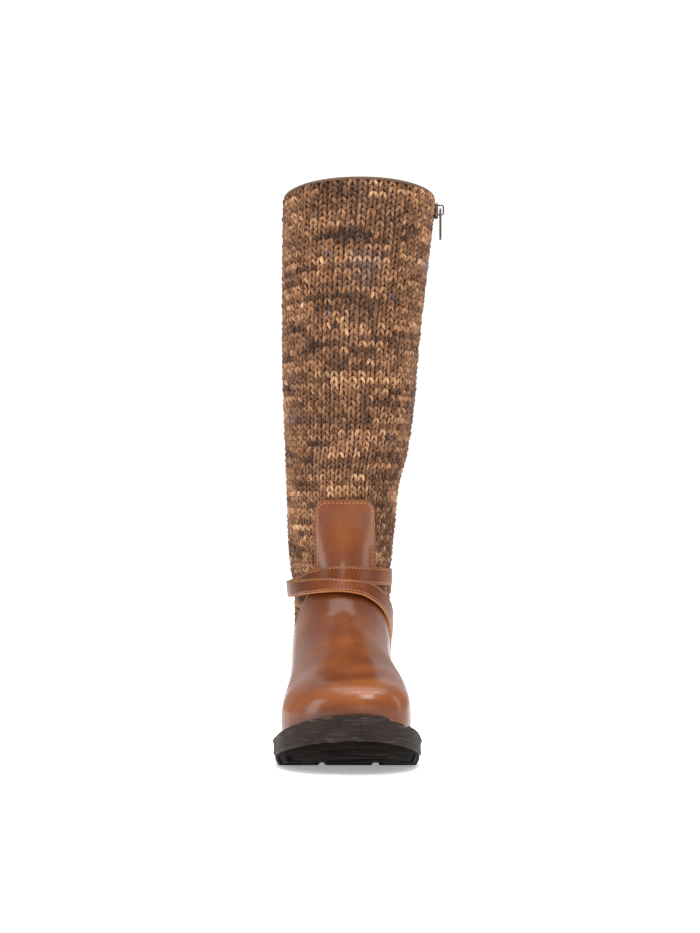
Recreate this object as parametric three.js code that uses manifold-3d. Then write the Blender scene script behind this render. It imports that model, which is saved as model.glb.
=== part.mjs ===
// A right boot: knitted shaft on a leather foot, with crossed ankle straps,
// an inner-side zip and a lugged sole.
// Millimetres. +Z is up, the toe points along -Y, +X is the inner side of the foot.
// The origin is the middle of the heel's tread, on the floor.
import * as THREE from 'three';
import { mergeVertices } from 'three/addons/utils/BufferGeometryUtils.js';
import Module from 'manifold-3d';

const wasm = await Module();
wasm.setup();

// Sole
const SOLE_LENGTH = 278;
const SOLE_BACK = 38; // from the origin to the back of the heel
const SOLE_WIDTH = 105; // at the ball
const HEEL_BLOCK = 22; // height of the heel under the midsole
const BAND = 11.5; // midsole height at the ball
const TREAD = 7; // tread height at the ball, with its lugs
const LUG_DEPTH = 4.5;
const TOE_SPRING = 17.5;
const HEEL_LENGTH = 70;
const LUG_PITCH = 17.5;
const LUG_ROWS = 8;
const CHANNEL = 5; // width of the channels between the lugs
const FIRST_CHANNEL = 66; // from the heel's front to the tread's first channel
const EDGE_LUG = 22.5; // length of the lugs along each edge
const EDGE_ANGLE = 16; // degrees
const MIDDLE_CHANNEL = 41; // length
const MIDDLE_ANGLE = 12;
const LONG_CHANNELS = 36; // from one long channel to the other
const LONG_CHANNELS_AT = 3; // their middle lies this far to the inner side
const LONG_SPLAY = 3;
const HEEL_CHANNELS = [15, 33]; // from the heel's front
const HEEL_CHANNEL = 26; // length
const HEEL_CHANNEL_X = 32;
const HEEL_ANGLE = 10;
const WELT_LEDGE = 5; // from the leather to the midsole's edge

// Upper
const KNIT_WALL = 3.6;
const LEATHER = 1.9;
const BALL_WIDTH = 88.8; // of the upper under the leather
const ANKLE_WIDTH = 80;
const COLLAR_WIDTH = 119;
const COLLAR_DEPTH = 123;
const TOE_BOX = 41; // height over the sole behind the toe's round part
const TOE_LIP = 4; // height of the toe's very tip over the sole
const TOE_APEX = 15; // the toe's tip lies this far to the inner side
const TOE_ROWS = [0, 24, 44, 60, 73, 82, 87]; // degrees round the toe
const TOE_PLAN = 0.7; // how round the toe is from above
const TOE_RISE = 0.5; // and from the side
const ANKLE_HEIGHT = 155; // where the foot's bend ends at the front
const SHAFT_HEIGHT = 434; // the collar's front, from the floor
const COLLAR_DROP = 11; // from the collar's front to its sides
const COLLAR_ROUND = 1.3; // how late it drops
const INSOLE = 3.5;

// Leather panels
const TAB_WIDTH = 44;
const TAB_TOP = 190;
const TAB_CORNER = 9;
const COUNTER_TOP = 97; // at the back
const COUNTER_FRONT = 69; // where it meets the vamp

// Straps
const STRAP_WIDTH = 13.2;
const STRAP = 1.8; // thickness
const STRAP_TIP = 6; // length of the rounded end
const STRAP_CLEAR = 0.65; // over what the strap crosses
const STRAP_ON_KNIT = 1.1; // over the knit, which bends inwards at the ankle

// Collar binding
const BINDING_HEIGHT = 2.6;
const BINDING_LIP = 0.8; // how far it stands out on each side of the wall
const BINDING_SEAT = 0.5; // clear of the wall's curved upper end
const BINDING_ROUND = 0.9; // its top is this much narrower on each side
const BINDING_SWELL = 0.3; // and its middle this much wider

// Zip
const ZIP_TOP_Y = -3; // where the zip meets the collar
const ZIP_FOOT_Y = -15; // where it ends low on the ankle
const ZIP_FOOT = 84; // height of its lower end
const ZIP_SLOT = 8;
const ZIP_TEETH = 5;
const ZIP_TAPE = 22;
const TAPE = 0.9; // thickness
const TEETH_DEPTH = 1; // the teeth's face lies this far under the knit
const ZIP_STOP = 3; // from the teeth's upper end to the collar
const SLIDER_LENGTH = 12;
const SLIDER_WIDTH = 9;
const SLIDER = 3; // thickness of its body
const SLIDER_DROP = 9; // from the collar to the slider's middle
const SLIDER_STANDOFF = 0.1; // its body's back face, out from the form's line over the slot
const BAIL = 1.2; // thickness of the slider's loop
const BAIL_WIDTH = 2;
const BAIL_REACH = 3.6; // inside of the loop, out from the slider's body
const PULL_LENGTH = 24;
const PULL_WIDTH = 6;
const PULL = 1.6; // thickness
const PULL_WINDOW = 3.2; // width of the hole that the slider's loop passes through

const GAP = 0.3; // between neighbouring pieces

// Working values
const TRIM = 400; // reach of a cutting block
const RING = 26; // points round one section of the upper
const ROW_STEP = 0.5; // sections lie this far apart, in rows of the tables, past the toe's own rows
const UNDERCUT = 8; // the upper's form runs on this far under the sole's top before it is trimmed
const TOP_SPARE = 14; // and this far over the collar
const COLLAR_STEPS = 28;
const BINDING_STEPS = 30;
const UNDER_STEPS = 34; // along the under strap
const OVER_STEPS = 30; // and along the one over it
const TIP_SHARES = [0, 0.25, 0.55, 0.8, 0.95]; // cuts over a strap's rounded end
const STATIONS = 24; // cuts along the sole
const OUTLINE_STEPS = 150; // points that each side of its outline is worked out from

const palette = {
  knit: { color: 0x8a6a4c, roughness: 0.95, metalness: 0 },
  leather: { color: 0x96552a, roughness: 0.42, metalness: 0 },
  strap: { color: 0x8f4f27, roughness: 0.42, metalness: 0 },
  rubber: { color: 0x3a322e, roughness: 0.7, metalness: 0 },
  tread: { color: 0x2c2622, roughness: 0.75, metalness: 0 },
  lining: { color: 0xb79a78, roughness: 0.9, metalness: 0 },
  tape: { color: 0x6e5a4e, roughness: 0.85, metalness: 0 },
  metal: { color: 0x85776b, roughness: 0.4, metalness: 0.85 },
};

function table(columns, rows) {
  return rows.map((row) => Object.fromEntries(columns.map((name, i) => [name, row[i]])));
}

// A smooth curve through table values that never swings past them, so a flat stretch stays flat.
function smooth(xs, ys) {
  const slopes = xs.slice(1).map((x, i) => (ys[i + 1] - ys[i]) / (x - xs[i]));
  const tangents = xs.map((_, i) => {
    if (i === 0) return slopes[0];
    if (i === xs.length - 1) return slopes[i - 1];
    const [a, b] = [slopes[i - 1], slopes[i]];
    return a * b <= 0 ? 0 : (2 * a * b) / (a + b);
  });
  return (x) => {
    const at = THREE.MathUtils.clamp(x, xs[0], xs[xs.length - 1]);
    let i = 0;
    while (i < xs.length - 2 && at > xs[i + 1]) i += 1;
    const h = xs[i + 1] - xs[i];
    const t = (at - xs[i]) / h;
    const rise = ys[i + 1] - ys[i];
    const first = h * tangents[i];
    const last = h * tangents[i + 1];
    return ys[i] + t * (first + t * (3 * rise - 2 * first - last + t * (first + last - 2 * rise)));
  };
}

function column(rows, name) {
  return rows.map((row) => row[name]);
}

function solid(geometry) {
  const bare = geometry.clone();
  bare.deleteAttribute('normal');
  bare.deleteAttribute('uv');
  const merged = mergeVertices(bare, 1e-4);
  return new wasm.Manifold(new wasm.Mesh({
    numProp: 3,
    vertProperties: merged.attributes.position.array,
    triVerts: new Uint32Array(merged.index.array),
  }));
}

function geometryOf(manifold) {
  const { vertProperties, triVerts, numProp } = manifold.getMesh();
  const count = vertProperties.length / numProp;
  const positions = new Float32Array(count * 3);
  for (let i = 0; i < count; i += 1) {
    positions.set(vertProperties.subarray(i * numProp, i * numProp + 3), i * 3);
  }
  const geometry = new THREE.BufferGeometry();
  geometry.setAttribute('position', new THREE.BufferAttribute(positions, 3));
  geometry.setIndex(new THREE.BufferAttribute(triVerts, 1));
  return geometry;
}

function union(solids) {
  return solids.reduce((all, one) => all.add(one));
}

// Joins rings of points into one closed surface. Seen from where the rings go to, each runs anticlockwise.
function loft(rings) {
  const count = rings[0].length;
  const positions = rings.flat().flatMap((p) => [p.x, p.y, p.z]);
  const faces = [];
  for (let i = 0; i < rings.length - 1; i += 1) {
    for (let j = 0; j < count; j += 1) {
      const k = (j + 1) % count;
      const [a, b, c, d] = [i * count + j, i * count + k, (i + 1) * count + k, (i + 1) * count + j];
      faces.push(a, b, c, a, c, d);
    }
  }
  for (const [ring, start] of [[rings[0], 0], [rings[rings.length - 1], (rings.length - 1) * count]]) {
    const middle = positions.length / 3;
    const centre = ring.reduce((sum, p) => sum.add(p), new THREE.Vector3()).divideScalar(count);
    positions.push(centre.x, centre.y, centre.z);
    for (let j = 0; j < count; j += 1) {
      const [a, b] = [start + j, start + ((j + 1) % count)];
      faces.push(...(start ? [middle, a, b] : [middle, b, a]));
    }
  }
  const geometry = new THREE.BufferGeometry();
  geometry.setAttribute('position', new THREE.Float32BufferAttribute(positions, 3));
  geometry.setIndex(faces);
  return geometry;
}

// Cutting blocks: an outline drawn from the side [y, z] or from the front [x, z], carried through.
function extruded(points, depth) {
  const shape = new THREE.Shape(points.map(([a, b]) => new THREE.Vector2(a, b)));
  return new THREE.ExtrudeGeometry(shape, { depth, bevelEnabled: false, steps: 1 });
}

function fromSide(points, x0, x1) {
  const turn = new THREE.Matrix4().makeBasis(
    new THREE.Vector3(0, 1, 0),
    new THREE.Vector3(0, 0, 1),
    new THREE.Vector3(1, 0, 0),
  );
  return solid(extruded(points, x1 - x0).applyMatrix4(turn).translate(x0, 0, 0));
}

function fromFront(points, y0, y1) {
  const turn = new THREE.Matrix4().makeBasis(
    new THREE.Vector3(1, 0, 0),
    new THREE.Vector3(0, 0, 1),
    new THREE.Vector3(0, -1, 0),
  );
  return solid(extruded(points, y1 - y0).applyMatrix4(turn).translate(0, y1, 0));
}

function block(x0, x1, y0, y1, z0, z1) {
  const box = new THREE.BoxGeometry(x1 - x0, y1 - y0, z1 - z0);
  return solid(box.translate((x0 + x1) / 2, (y0 + y1) / 2, (z0 + z1) / 2));
}

// The sole's layers, as heights over the floor: share of the length from the back, then each layer's
// share of its named size. `rise` follows the heel block, `spring` the toe spring.
const layers = table(['along', 'rise', 'spring', 'tread', 'band'], [
  [0.0, 1.0, 0.0, 0.0, 1.08],
  [0.14, 1.0, 0.0, 0.0, 1.04],
  [0.26, 0.77, 0.0, 0.43, 1.0],
  [0.35, 0.57, 0.0, 0.57, 0.98],
  [0.44, 0.18, 0.0, 1.0, 1.0],
  [0.485, 0.0, 0.0, 1.12, 1.0],
  [0.57, 0.0, 0.0, 1.0, 1.0],
  [0.71, 0.0, 0.0, 1.0, 1.0],
  [0.785, 0.0, 0.12, 1.05, 1.09],
  [0.855, 0.0, 0.35, 1.07, 1.25],
  [0.93, 0.0, 0.65, 1.1, 1.43],
  [1.0, 0.0, 1.0, 1.14, 1.61],
]);
const alongs = column(layers, 'along');
const curves = Object.fromEntries(
  ['rise', 'spring', 'tread', 'band'].map((name) => [name, smooth(alongs, column(layers, name))]),
);

function along(y) {
  return (SOLE_BACK - y) / SOLE_LENGTH;
}

function yAt(share) {
  return SOLE_BACK - share * SOLE_LENGTH;
}

function treadBottom(y) {
  return HEEL_BLOCK * curves.rise(along(y)) + TOE_SPRING * curves.spring(along(y));
}

function bandBottom(y) {
  return treadBottom(y) + TREAD * curves.tread(along(y));
}

function seat(y) {
  return bandBottom(y) + BAND * curves.band(along(y));
}

// The sole's outline from above: share of the length, and each side's share of the ball's width.
const outlineRows = table(['along', 'outer', 'inner'], [
  [0.016, 0.19, 0.19],
  [0.068, 0.295, 0.3],
  [0.137, 0.33, 0.335],
  [0.245, 0.325, 0.33],
  [0.353, 0.345, 0.33],
  [0.46, 0.395, 0.37],
  [0.568, 0.455, 0.46],
  [0.683, 0.488, 0.52],
  [0.791, 0.472, 0.519],
  [0.892, 0.39, 0.465],
  [0.969, 0.205, 0.32],
]);
const heelTip = new THREE.Vector3(0, SOLE_BACK, 0);
const toeTip = new THREE.Vector3(TOE_APEX, SOLE_BACK - SOLE_LENGTH, 0);

function outlinePoint(row, side) {
  const x = SOLE_WIDTH * (side < 0 ? -row.outer : row.inner);
  return new THREE.Vector3(x, yAt(row.along), 0);
}

const outlineCurve = new THREE.CatmullRomCurve3([
  heelTip,
  ...outlineRows.map((row) => outlinePoint(row, -1)),
  toeTip,
  ...outlineRows.slice().reverse().map((row) => outlinePoint(row, 1)),
], true, 'centripetal');
// Both sides of the sole are cut at the same places along it, closer together round the heel and the toe.
const stations = Array.from({ length: STATIONS + 1 }, (_, k) => (1 - Math.cos((Math.PI * k) / STATIONS)) / 2);

function sideOfOutline(side, inset) {
  return Array.from({ length: OUTLINE_STEPS + 1 }, (_, i) => {
    const t = side < 0 ? i / (2 * OUTLINE_STEPS) : 1 - i / (2 * OUTLINE_STEPS);
    const tangent = outlineCurve.getTangent(t);
    const inward = new THREE.Vector3(-tangent.y, tangent.x, 0).normalize();
    return outlineCurve.getPoint(t).addScaledVector(inward, inset);
  });
}

// The outline moved inwards, as a closed loop that runs anticlockwise seen from above.
function outline(inset) {
  const sides = [-1, 1].map((side) => sideOfOutline(side, inset));
  const [back, toe] = [sides[0][0], sides[0][OUTLINE_STEPS]];
  const loops = sides.map((points) => stations.slice(1, -1).map((share) => {
    const y = THREE.MathUtils.lerp(back.y, toe.y, share);
    const i = points.findIndex((p) => p.y < y);
    const t = (y - points[i - 1].y) / (points[i].y - points[i - 1].y);
    return points[i - 1].clone().lerp(points[i], t);
  }));
  return [back, ...loops[0], toe, ...loops[1].reverse()];
}

// A layer between two heights, its side following [share of height, inset] rows from the bottom up.
function soleLayer(bottom, top, side) {
  const rings = side.map(([share, inset]) => outline(inset).map((p) => {
    const z = THREE.MathUtils.lerp(bottom(p.y), top(p.y), share);
    return new THREE.Vector3(p.x, p.y, z);
  }));
  const count = rings[0].length;
  const positions = rings.flat().flatMap((p) => [p.x, p.y, p.z]);
  const faces = [];
  for (let i = 0; i < rings.length - 1; i += 1) {
    for (let j = 0; j < count; j += 1) {
      const k = (j + 1) % count;
      const [a, b, c, d] = [i * count + j, i * count + k, (i + 1) * count + k, (i + 1) * count + j];
      faces.push(a, b, c, a, c, d);
    }
  }
  const topStart = (rings.length - 1) * count;
  for (let j = 0; j < count / 2; j += 1) {
    const [a, b, c, d] = [j, j + 1, (count - j - 1) % count, (count - j) % count];
    if (b !== c) faces.push(a, c, b, topStart + a, topStart + b, topStart + c);
    if (a !== d) faces.push(a, d, c, topStart + a, topStart + c, topStart + d);
  }
  const geometry = new THREE.BufferGeometry();
  geometry.setAttribute('position', new THREE.Float32BufferAttribute(positions, 3));
  geometry.setIndex(faces);
  return solid(geometry);
}

// The upper's form: each row is one bent-axis section, in the plane through a point on the front line
// and a point on the bottom or back line. Sides are shares of the row's own width, from x = 0.
// `belly` is where the section is widest, and `low` and `high` are how square it is under and over that.
const footRows = table(
  ['front', 'height', 'back', 'outer', 'inner', 'crest', 'belly', 'low', 'high'],
  [
    [0.82, 0.445, 0.82, 0.48, 0.508, 0.07, 0.4, 3.6, 2.5],
    [0.694, 0.485, 0.694, 0.488, 0.512, 0.05, 0.38, 3.4, 2.3],
    [0.586, 0.555, 0.56, 0.465, 0.46, 0.03, 0.38, 3.0, 2.2],
    [0.5, 0.63, 0.42, 0.44, 0.405, 0.0, 0.4, 3.0, 2.1],
    [0.437, 0.715, 0.275, 0.432, 0.37, 0.0, 0.44, 3.0, 2.1],
    [0.397, 0.8, 0.135, 0.43, 0.372, 0.0, 0.46, 2.9, 2.1],
    [0.384, 0.87, 0.022, 0.428, 0.38, 0.0, 0.48, 2.7, 2.1],
  ],
);
const ankleRows = table(
  ['front', 'height', 'back', 'backHeight', 'outer', 'inner', 'belly', 'low', 'high'],
  [
    [0.374, 0.935, 0.012, 0.2, 0.478, 0.432, 0.5, 2.5, 2.1],
    [0.366, 1.02, 0.014, 0.46, 0.497, 0.43, 0.5, 2.3, 2.1],
    [0.362, 1.12, 0.034, 0.75, 0.54, 0.46, 0.5, 2.1, 2.1],
  ],
);
const shaftRows = table(['up', 'tilt', 'forward', 'behind', 'outer', 'inner'], [
  [0.14, 0.1, 0.51, 0.275, 0.376, 0.345],
  [0.25, 0.06, 0.512, 0.315, 0.386, 0.41],
  [0.37, 0.03, 0.516, 0.352, 0.397, 0.452],
  [0.51, 0.01, 0.52, 0.39, 0.404, 0.478],
  [0.74, 0.0, 0.526, 0.442, 0.403, 0.54],
  [0.89, 0.0, 0.53, 0.464, 0.398, 0.582],
  [1.0, 0.0, 0.532, 0.472, 0.4, 0.6],
]);

function footSection(row) {
  const [yFront, yBack] = [yAt(row.front), yAt(row.back)];
  return {
    yFront,
    zFront: row.height * ANKLE_HEIGHT,
    yBack,
    zBack: seat(yBack) - UNDERCUT,
    outer: row.outer * BALL_WIDTH,
    inner: row.inner * BALL_WIDTH,
    crest: row.crest * BALL_WIDTH,
    belly: row.belly,
    low: row.low,
    high: row.high,
  };
}

function toeSection(base, degrees) {
  const angle = THREE.MathUtils.degToRad(degrees);
  const tip = toeTip.y + WELT_LEDGE + LEATHER + GAP;
  const y = base.yFront + (tip - base.yFront) * Math.sin(angle);
  const half = ((base.outer + base.inner) / 2) * Math.cos(angle) ** TOE_PLAN;
  const middle = THREE.MathUtils.lerp((base.inner - base.outer) / 2, TOE_APEX, Math.sin(angle) ** 2);
  const lip = seat(tip) + TOE_LIP;
  const crown = seat(base.yFront) + TOE_BOX;
  return {
    ...base,
    yFront: y,
    zFront: THREE.MathUtils.lerp(lip, crown, Math.cos(angle) ** TOE_RISE),
    yBack: y,
    zBack: seat(y) - UNDERCUT,
    outer: half - middle,
    inner: half + middle,
    crest: base.crest * Math.cos(angle),
  };
}

function ankleSection(row) {
  return {
    yFront: yAt(row.front),
    zFront: row.height * ANKLE_HEIGHT,
    yBack: yAt(row.back),
    zBack: HEEL_BLOCK + BAND + row.backHeight * (ANKLE_HEIGHT - HEEL_BLOCK - BAND),
    outer: row.outer * ANKLE_WIDTH,
    inner: row.inner * ANKLE_WIDTH,
    crest: 0,
    belly: row.belly,
    low: row.low,
    high: row.high,
  };
}

function shaftSection(row) {
  const z = THREE.MathUtils.lerp(ANKLE_HEIGHT, SHAFT_HEIGHT + TOP_SPARE, row.up);
  const lean = (row.tilt * (SHAFT_HEIGHT - ANKLE_HEIGHT)) / 2;
  return {
    yFront: -row.forward * COLLAR_DEPTH,
    zFront: z + lean,
    yBack: row.behind * COLLAR_DEPTH,
    zBack: z - lean,
    outer: row.outer * COLLAR_WIDTH,
    inner: row.inner * COLLAR_WIDTH,
    crest: 0,
    belly: 0.5,
    low: 2.1,
    high: 2.1,
  };
}

const sections = [
  ...TOE_ROWS.slice().reverse().map((degrees) => toeSection(footSection(footRows[0]), degrees)),
  ...footRows.slice(1).map(footSection),
  ...ankleRows.map(ankleSection),
  ...shaftRows.map(shaftSection),
];
const rowNumbers = sections.map((_, i) => i);
const sectionCurves = Object.fromEntries(
  Object.keys(sections[0]).map((name) => [name, smooth(rowNumbers, column(sections, name))]),
);
const LAST_ROW = sections.length - 1;
const FIRST_ANKLE = TOE_ROWS.length + footRows.length - 1;

// A point of the form. Turn 0 is the inner side, a quarter is the front line, a half the outer side.
function onForm(row, turn) {
  const s = {};
  for (const name of Object.keys(sectionCurves)) s[name] = sectionCurves[name](row);
  const angle = turn * 2 * Math.PI;
  const [c, h] = [Math.cos(angle), Math.sin(angle)];
  const power = 2 / (h < 0 ? s.low : s.high);
  const across = Math.sign(c) * Math.abs(c) ** power;
  const rise = Math.abs(h) ** power;
  const up = h < 0 ? s.belly * (1 - rise) : s.belly + (1 - s.belly) * rise;
  const middle = (s.inner - s.outer) / 2 + (h > 0 ? s.crest * rise * rise : 0);
  return new THREE.Vector3(
    middle + (across * (s.inner + s.outer)) / 2,
    THREE.MathUtils.lerp(s.yBack, s.yFront, up),
    THREE.MathUtils.lerp(s.zBack, s.zFront, up),
  );
}

// The same point moved outwards, square to the form.
function skin(row, turn, offset) {
  const step = 0.02;
  const [r0, r1] = [Math.max(0, row - step), Math.min(LAST_ROW, row + step)];
  const alongRow = onForm(r1, turn).sub(onForm(r0, turn));
  const round = onForm(row, turn + step / 4).sub(onForm(row, turn - step / 4));
  const outward = alongRow.cross(round).normalize();
  return onForm(row, turn).addScaledVector(outward, offset);
}

function form(offset, from = 0, to = LAST_ROW) {
  const rings = [];
  for (let row = from; row <= to; row += row < TOE_ROWS.length ? 1 : ROW_STEP) {
    rings.push(Array.from({ length: RING }, (_, j) => skin(row, -(j + 0.5) / RING, offset)));
  }
  return solid(loft(rings));
}

// The collar's height over the floor, highest at the front.
const collarFront = -shaftRows[shaftRows.length - 1].forward * COLLAR_DEPTH;

function collar(y) {
  const share = THREE.MathUtils.clamp(y / collarFront, 0, 1);
  return SHAFT_HEIGHT - COLLAR_DROP * (1 - share ** COLLAR_ROUND);
}

// What lies over a surface set just above the sole and under the collar.
function aboveSole(lift, drop = 0) {
  const [behind, ahead] = [-0.06, 1.06];
  const shares = [behind, ...stations, ahead].reverse();
  const points = shares.map((share) => [yAt(share), seat(yAt(share)) + lift]);
  for (let i = 0; i <= COLLAR_STEPS; i += 1) {
    const y = THREE.MathUtils.lerp(COLLAR_DEPTH, collarFront * 1.1, i / COLLAR_STEPS);
    points.push([y, collar(y) - drop]);
  }
  points.push([yAt(ahead), SHAFT_HEIGHT - drop]);
  return fromSide(points, -TRIM / 2, TRIM / 2);
}

function zipY(z) {
  return THREE.MathUtils.mapLinear(z, ZIP_FOOT, SHAFT_HEIGHT, ZIP_FOOT_Y, ZIP_TOP_Y);
}

// A strip along the zip, on the inner side only.
function zipStrip(width, foot, top) {
  const half = width / 2;
  const points = [
    [zipY(foot) - half, foot],
    [zipY(foot) + half, foot],
    [zipY(top) + half, top],
    [zipY(top) - half, top],
  ];
  return fromSide(points, 0, TRIM / 2);
}

const trimmed = aboveSole(0);

function upper() {
  const wall = form(0).subtract(form(-KNIT_WALL)).intersect(trimmed);
  return wall.subtract(zipStrip(ZIP_SLOT, ZIP_FOOT, SHAFT_HEIGHT + TOP_SPARE));
}

function insole() {
  const top = (y) => seat(y) + INSOLE;
  const layer = soleLayer(seat, top, [[0, 0], [1, 0]]);
  return form(-KNIT_WALL - GAP, 0, FIRST_ANKLE + 2).intersect(layer);
}

function midsole() {
  const top = (y) => seat(y) - GAP;
  const side = [[0, 0.8], [0.1, 0], [0.42, 0.25], [0.76, 0.25], [0.84, -0.5], [0.96, -0.5], [1, 0.3]];
  return soleLayer(bandBottom, top, side);
}

// Channels between the lugs, cut up from the tread's own bottom surface.
function channel(x, y, length, degrees, width = CHANNEL) {
  const box = new THREE.BoxGeometry(length, width, TRIM / 4);
  box.rotateZ(THREE.MathUtils.degToRad(degrees)).translate(x, y, 0);
  return solid(box);
}

function lugChannels(first) {
  const cuts = [];
  for (let i = 0; i < LUG_ROWS; i += 1) {
    const y = first - i * LUG_PITCH;
    const middle = TOE_APEX * Math.max(0, along(y) - 0.3);
    cuts.push(channel(-SOLE_WIDTH / 2, y, 2 * EDGE_LUG, -EDGE_ANGLE));
    cuts.push(channel(SOLE_WIDTH / 2 + middle, y + CHANNEL, 2 * EDGE_LUG, EDGE_ANGLE));
    cuts.push(channel(middle, y - LUG_PITCH / 2, MIDDLE_CHANNEL, i % 2 ? MIDDLE_ANGLE : -MIDDLE_ANGLE));
  }
  return cuts;
}

function longChannels() {
  return [-1, 1].map((side) => {
    const x = LONG_CHANNELS_AT + (side * LONG_CHANNELS) / 2;
    return channel(x, yAt(0.72), CHANNEL, side * LONG_SPLAY, SOLE_LENGTH * 0.42);
  });
}

function tread() {
  const top = (y) => bandBottom(y) - GAP;
  const side = [[0, 4.2], [0.45, 2], [1, 1.2]];
  const slab = soleLayer(treadBottom, top, side);
  const under = (y) => treadBottom(y) - 2 * TREAD;
  const depth = soleLayer(under, (y) => treadBottom(y) + LUG_DEPTH, [[0, -TREAD], [1, -TREAD]]);
  const cuts = union([...lugChannels(yAt(0) - HEEL_LENGTH - FIRST_CHANNEL), ...longChannels()]);
  const front = block(-TRIM / 2, TRIM / 2, -TRIM, SOLE_BACK - HEEL_LENGTH - GAP, -TRIM, TRIM);
  return slab.intersect(front).subtract(cuts.intersect(depth));
}

function heel() {
  const top = (y) => bandBottom(y) - GAP;
  const side = [[0, 2.6], [0.12, 1.6], [0.2, 2], [0.94, 0.9], [1, 1.2]];
  const slab = soleLayer(() => 0, top, side);
  const front = SOLE_BACK - HEEL_LENGTH;
  const back = block(-TRIM / 2, TRIM / 2, front, TRIM, -TRIM, TRIM);
  const cuts = [-1, 1].flatMap((hand) => HEEL_CHANNELS.map((from) => (
    channel(hand * HEEL_CHANNEL_X, front + from, HEEL_CHANNEL, hand * HEEL_ANGLE)
  )));
  const low = block(-TRIM / 2, TRIM / 2, -TRIM, TRIM, -TRIM, LUG_DEPTH);
  return slab.intersect(back).subtract(union(cuts).intersect(low));
}

// Leather laid over the knit: a second skin of the same form.
function overlay(to, from = 0) {
  return form(GAP + LEATHER, from, to).subtract(form(GAP, from, to)).intersect(trimmed);
}

// The vamp's back edge from the side: share of the length, share of the ankle's height.
const vampEdge = table(['along', 'height'], [
  [0.305, -0.1],
  [0.285, 0.25],
  [0.272, 0.42],
  [0.272, 0.5],
  [0.29, 0.6],
  [0.325, 0.695],
  [0.355, 0.77],
  [0.38, 0.84],
]);

function vampSide(shift) {
  const edge = vampEdge.map((row) => [yAt(row.along) + shift, row.height * ANKLE_HEIGHT]);
  const highest = edge[edge.length - 1];
  const front = yAt(1.06);
  return fromSide([...edge, [front, highest[1]], [front, edge[0][1]]], -TRIM / 2, TRIM / 2);
}

function tabFront() {
  const [half, r] = [TAB_WIDTH / 2, TAB_CORNER];
  const corner = (sign) => Array.from({ length: 5 }, (_, i) => {
    const angle = ((sign > 0 ? i : 4 - i) * Math.PI) / 8;
    return [sign * (half - r + r * Math.cos(angle)), TAB_TOP - r + r * Math.sin(angle)];
  });
  const foot = 0.74 * ANKLE_HEIGHT;
  return fromFront([[-half, foot], [half, foot], ...corner(1), ...corner(-1)], -TRIM, yAt(0.25));
}

function vamp() {
  return overlay(FIRST_ANKLE + 5).intersect(vampSide(0).add(tabFront()));
}

// The counter's upper edge from the side: share of the length,
// share of the way up from its front to its back.
const counterEdge = table(['along', 'up'], [
  [-0.1, 1],
  [0.03, 1],
  [0.12, 0.62],
  [0.2, 0.2],
  [0.27, 0],
  [0.33, 0],
]);

function counter() {
  const edge = counterEdge.map((row) => (
    [yAt(row.along), THREE.MathUtils.lerp(COUNTER_FRONT, COUNTER_TOP, row.up)]
  ));
  const [back, front] = [edge[0][0], edge[edge.length - 1][0]];
  const area = fromSide([[front, 0], [back, 0], ...edge], -TRIM / 2, TRIM / 2);
  return overlay(FIRST_ANKLE + 4, TOE_ROWS.length).intersect(area).subtract(vampSide(2 * GAP));
}

// The row of the form that passes a height at a turn.
function rowAt(turn, z) {
  let [low, high] = [TOE_ROWS.length - 1, LAST_ROW];
  for (let i = 0; i < 30; i += 1) {
    const middle = (low + high) / 2;
    if (onForm(middle, turn).z < z) low = middle;
    else high = middle;
  }
  return (low + high) / 2;
}

// Straps lie on the form along [turn, height, lift] rows. The lift clears what lies under the strap.
const overPanel = GAP + LEATHER + STRAP_CLEAR;
const overStrap = overPanel + STRAP + STRAP_CLEAR;
const onKnit = STRAP_ON_KNIT;
const overBoth = onKnit + STRAP + STRAP_CLEAR;
const underStrapPath = table(['turn', 'height', 'lift'], [
  [0.035, 130, onKnit],
  [0.1, 131, (onKnit + overPanel) / 2],
  [0.17, 132, overPanel],
  [0.25, 132.5, overPanel],
  [0.33, 130, overPanel],
  [0.4, 125, (onKnit + overPanel) / 2],
  [0.5, 121, onKnit],
  [0.62, 119, onKnit],
  [0.75, 119, onKnit],
  [0.88, 120, onKnit],
  [0.955, 122, onKnit],
]);
const overStrapPath = table(['turn', 'height', 'lift'], [
  [0.008, 85, overPanel],
  [0.028, 93, overPanel],
  [0.05, 100, overPanel],
  [0.085, 108, overPanel],
  [0.14, 116.5, (overPanel + overStrap) / 2],
  [0.2, 121.5, overStrap],
  [0.27, 123, overStrap],
  [0.34, 122.8, overStrap],
  [0.42, 121.8, overStrap],
  [0.5, 120.5, overBoth],
  [0.58, 119.5, overBoth],
  [0.66, 119, overBoth],
]);

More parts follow.
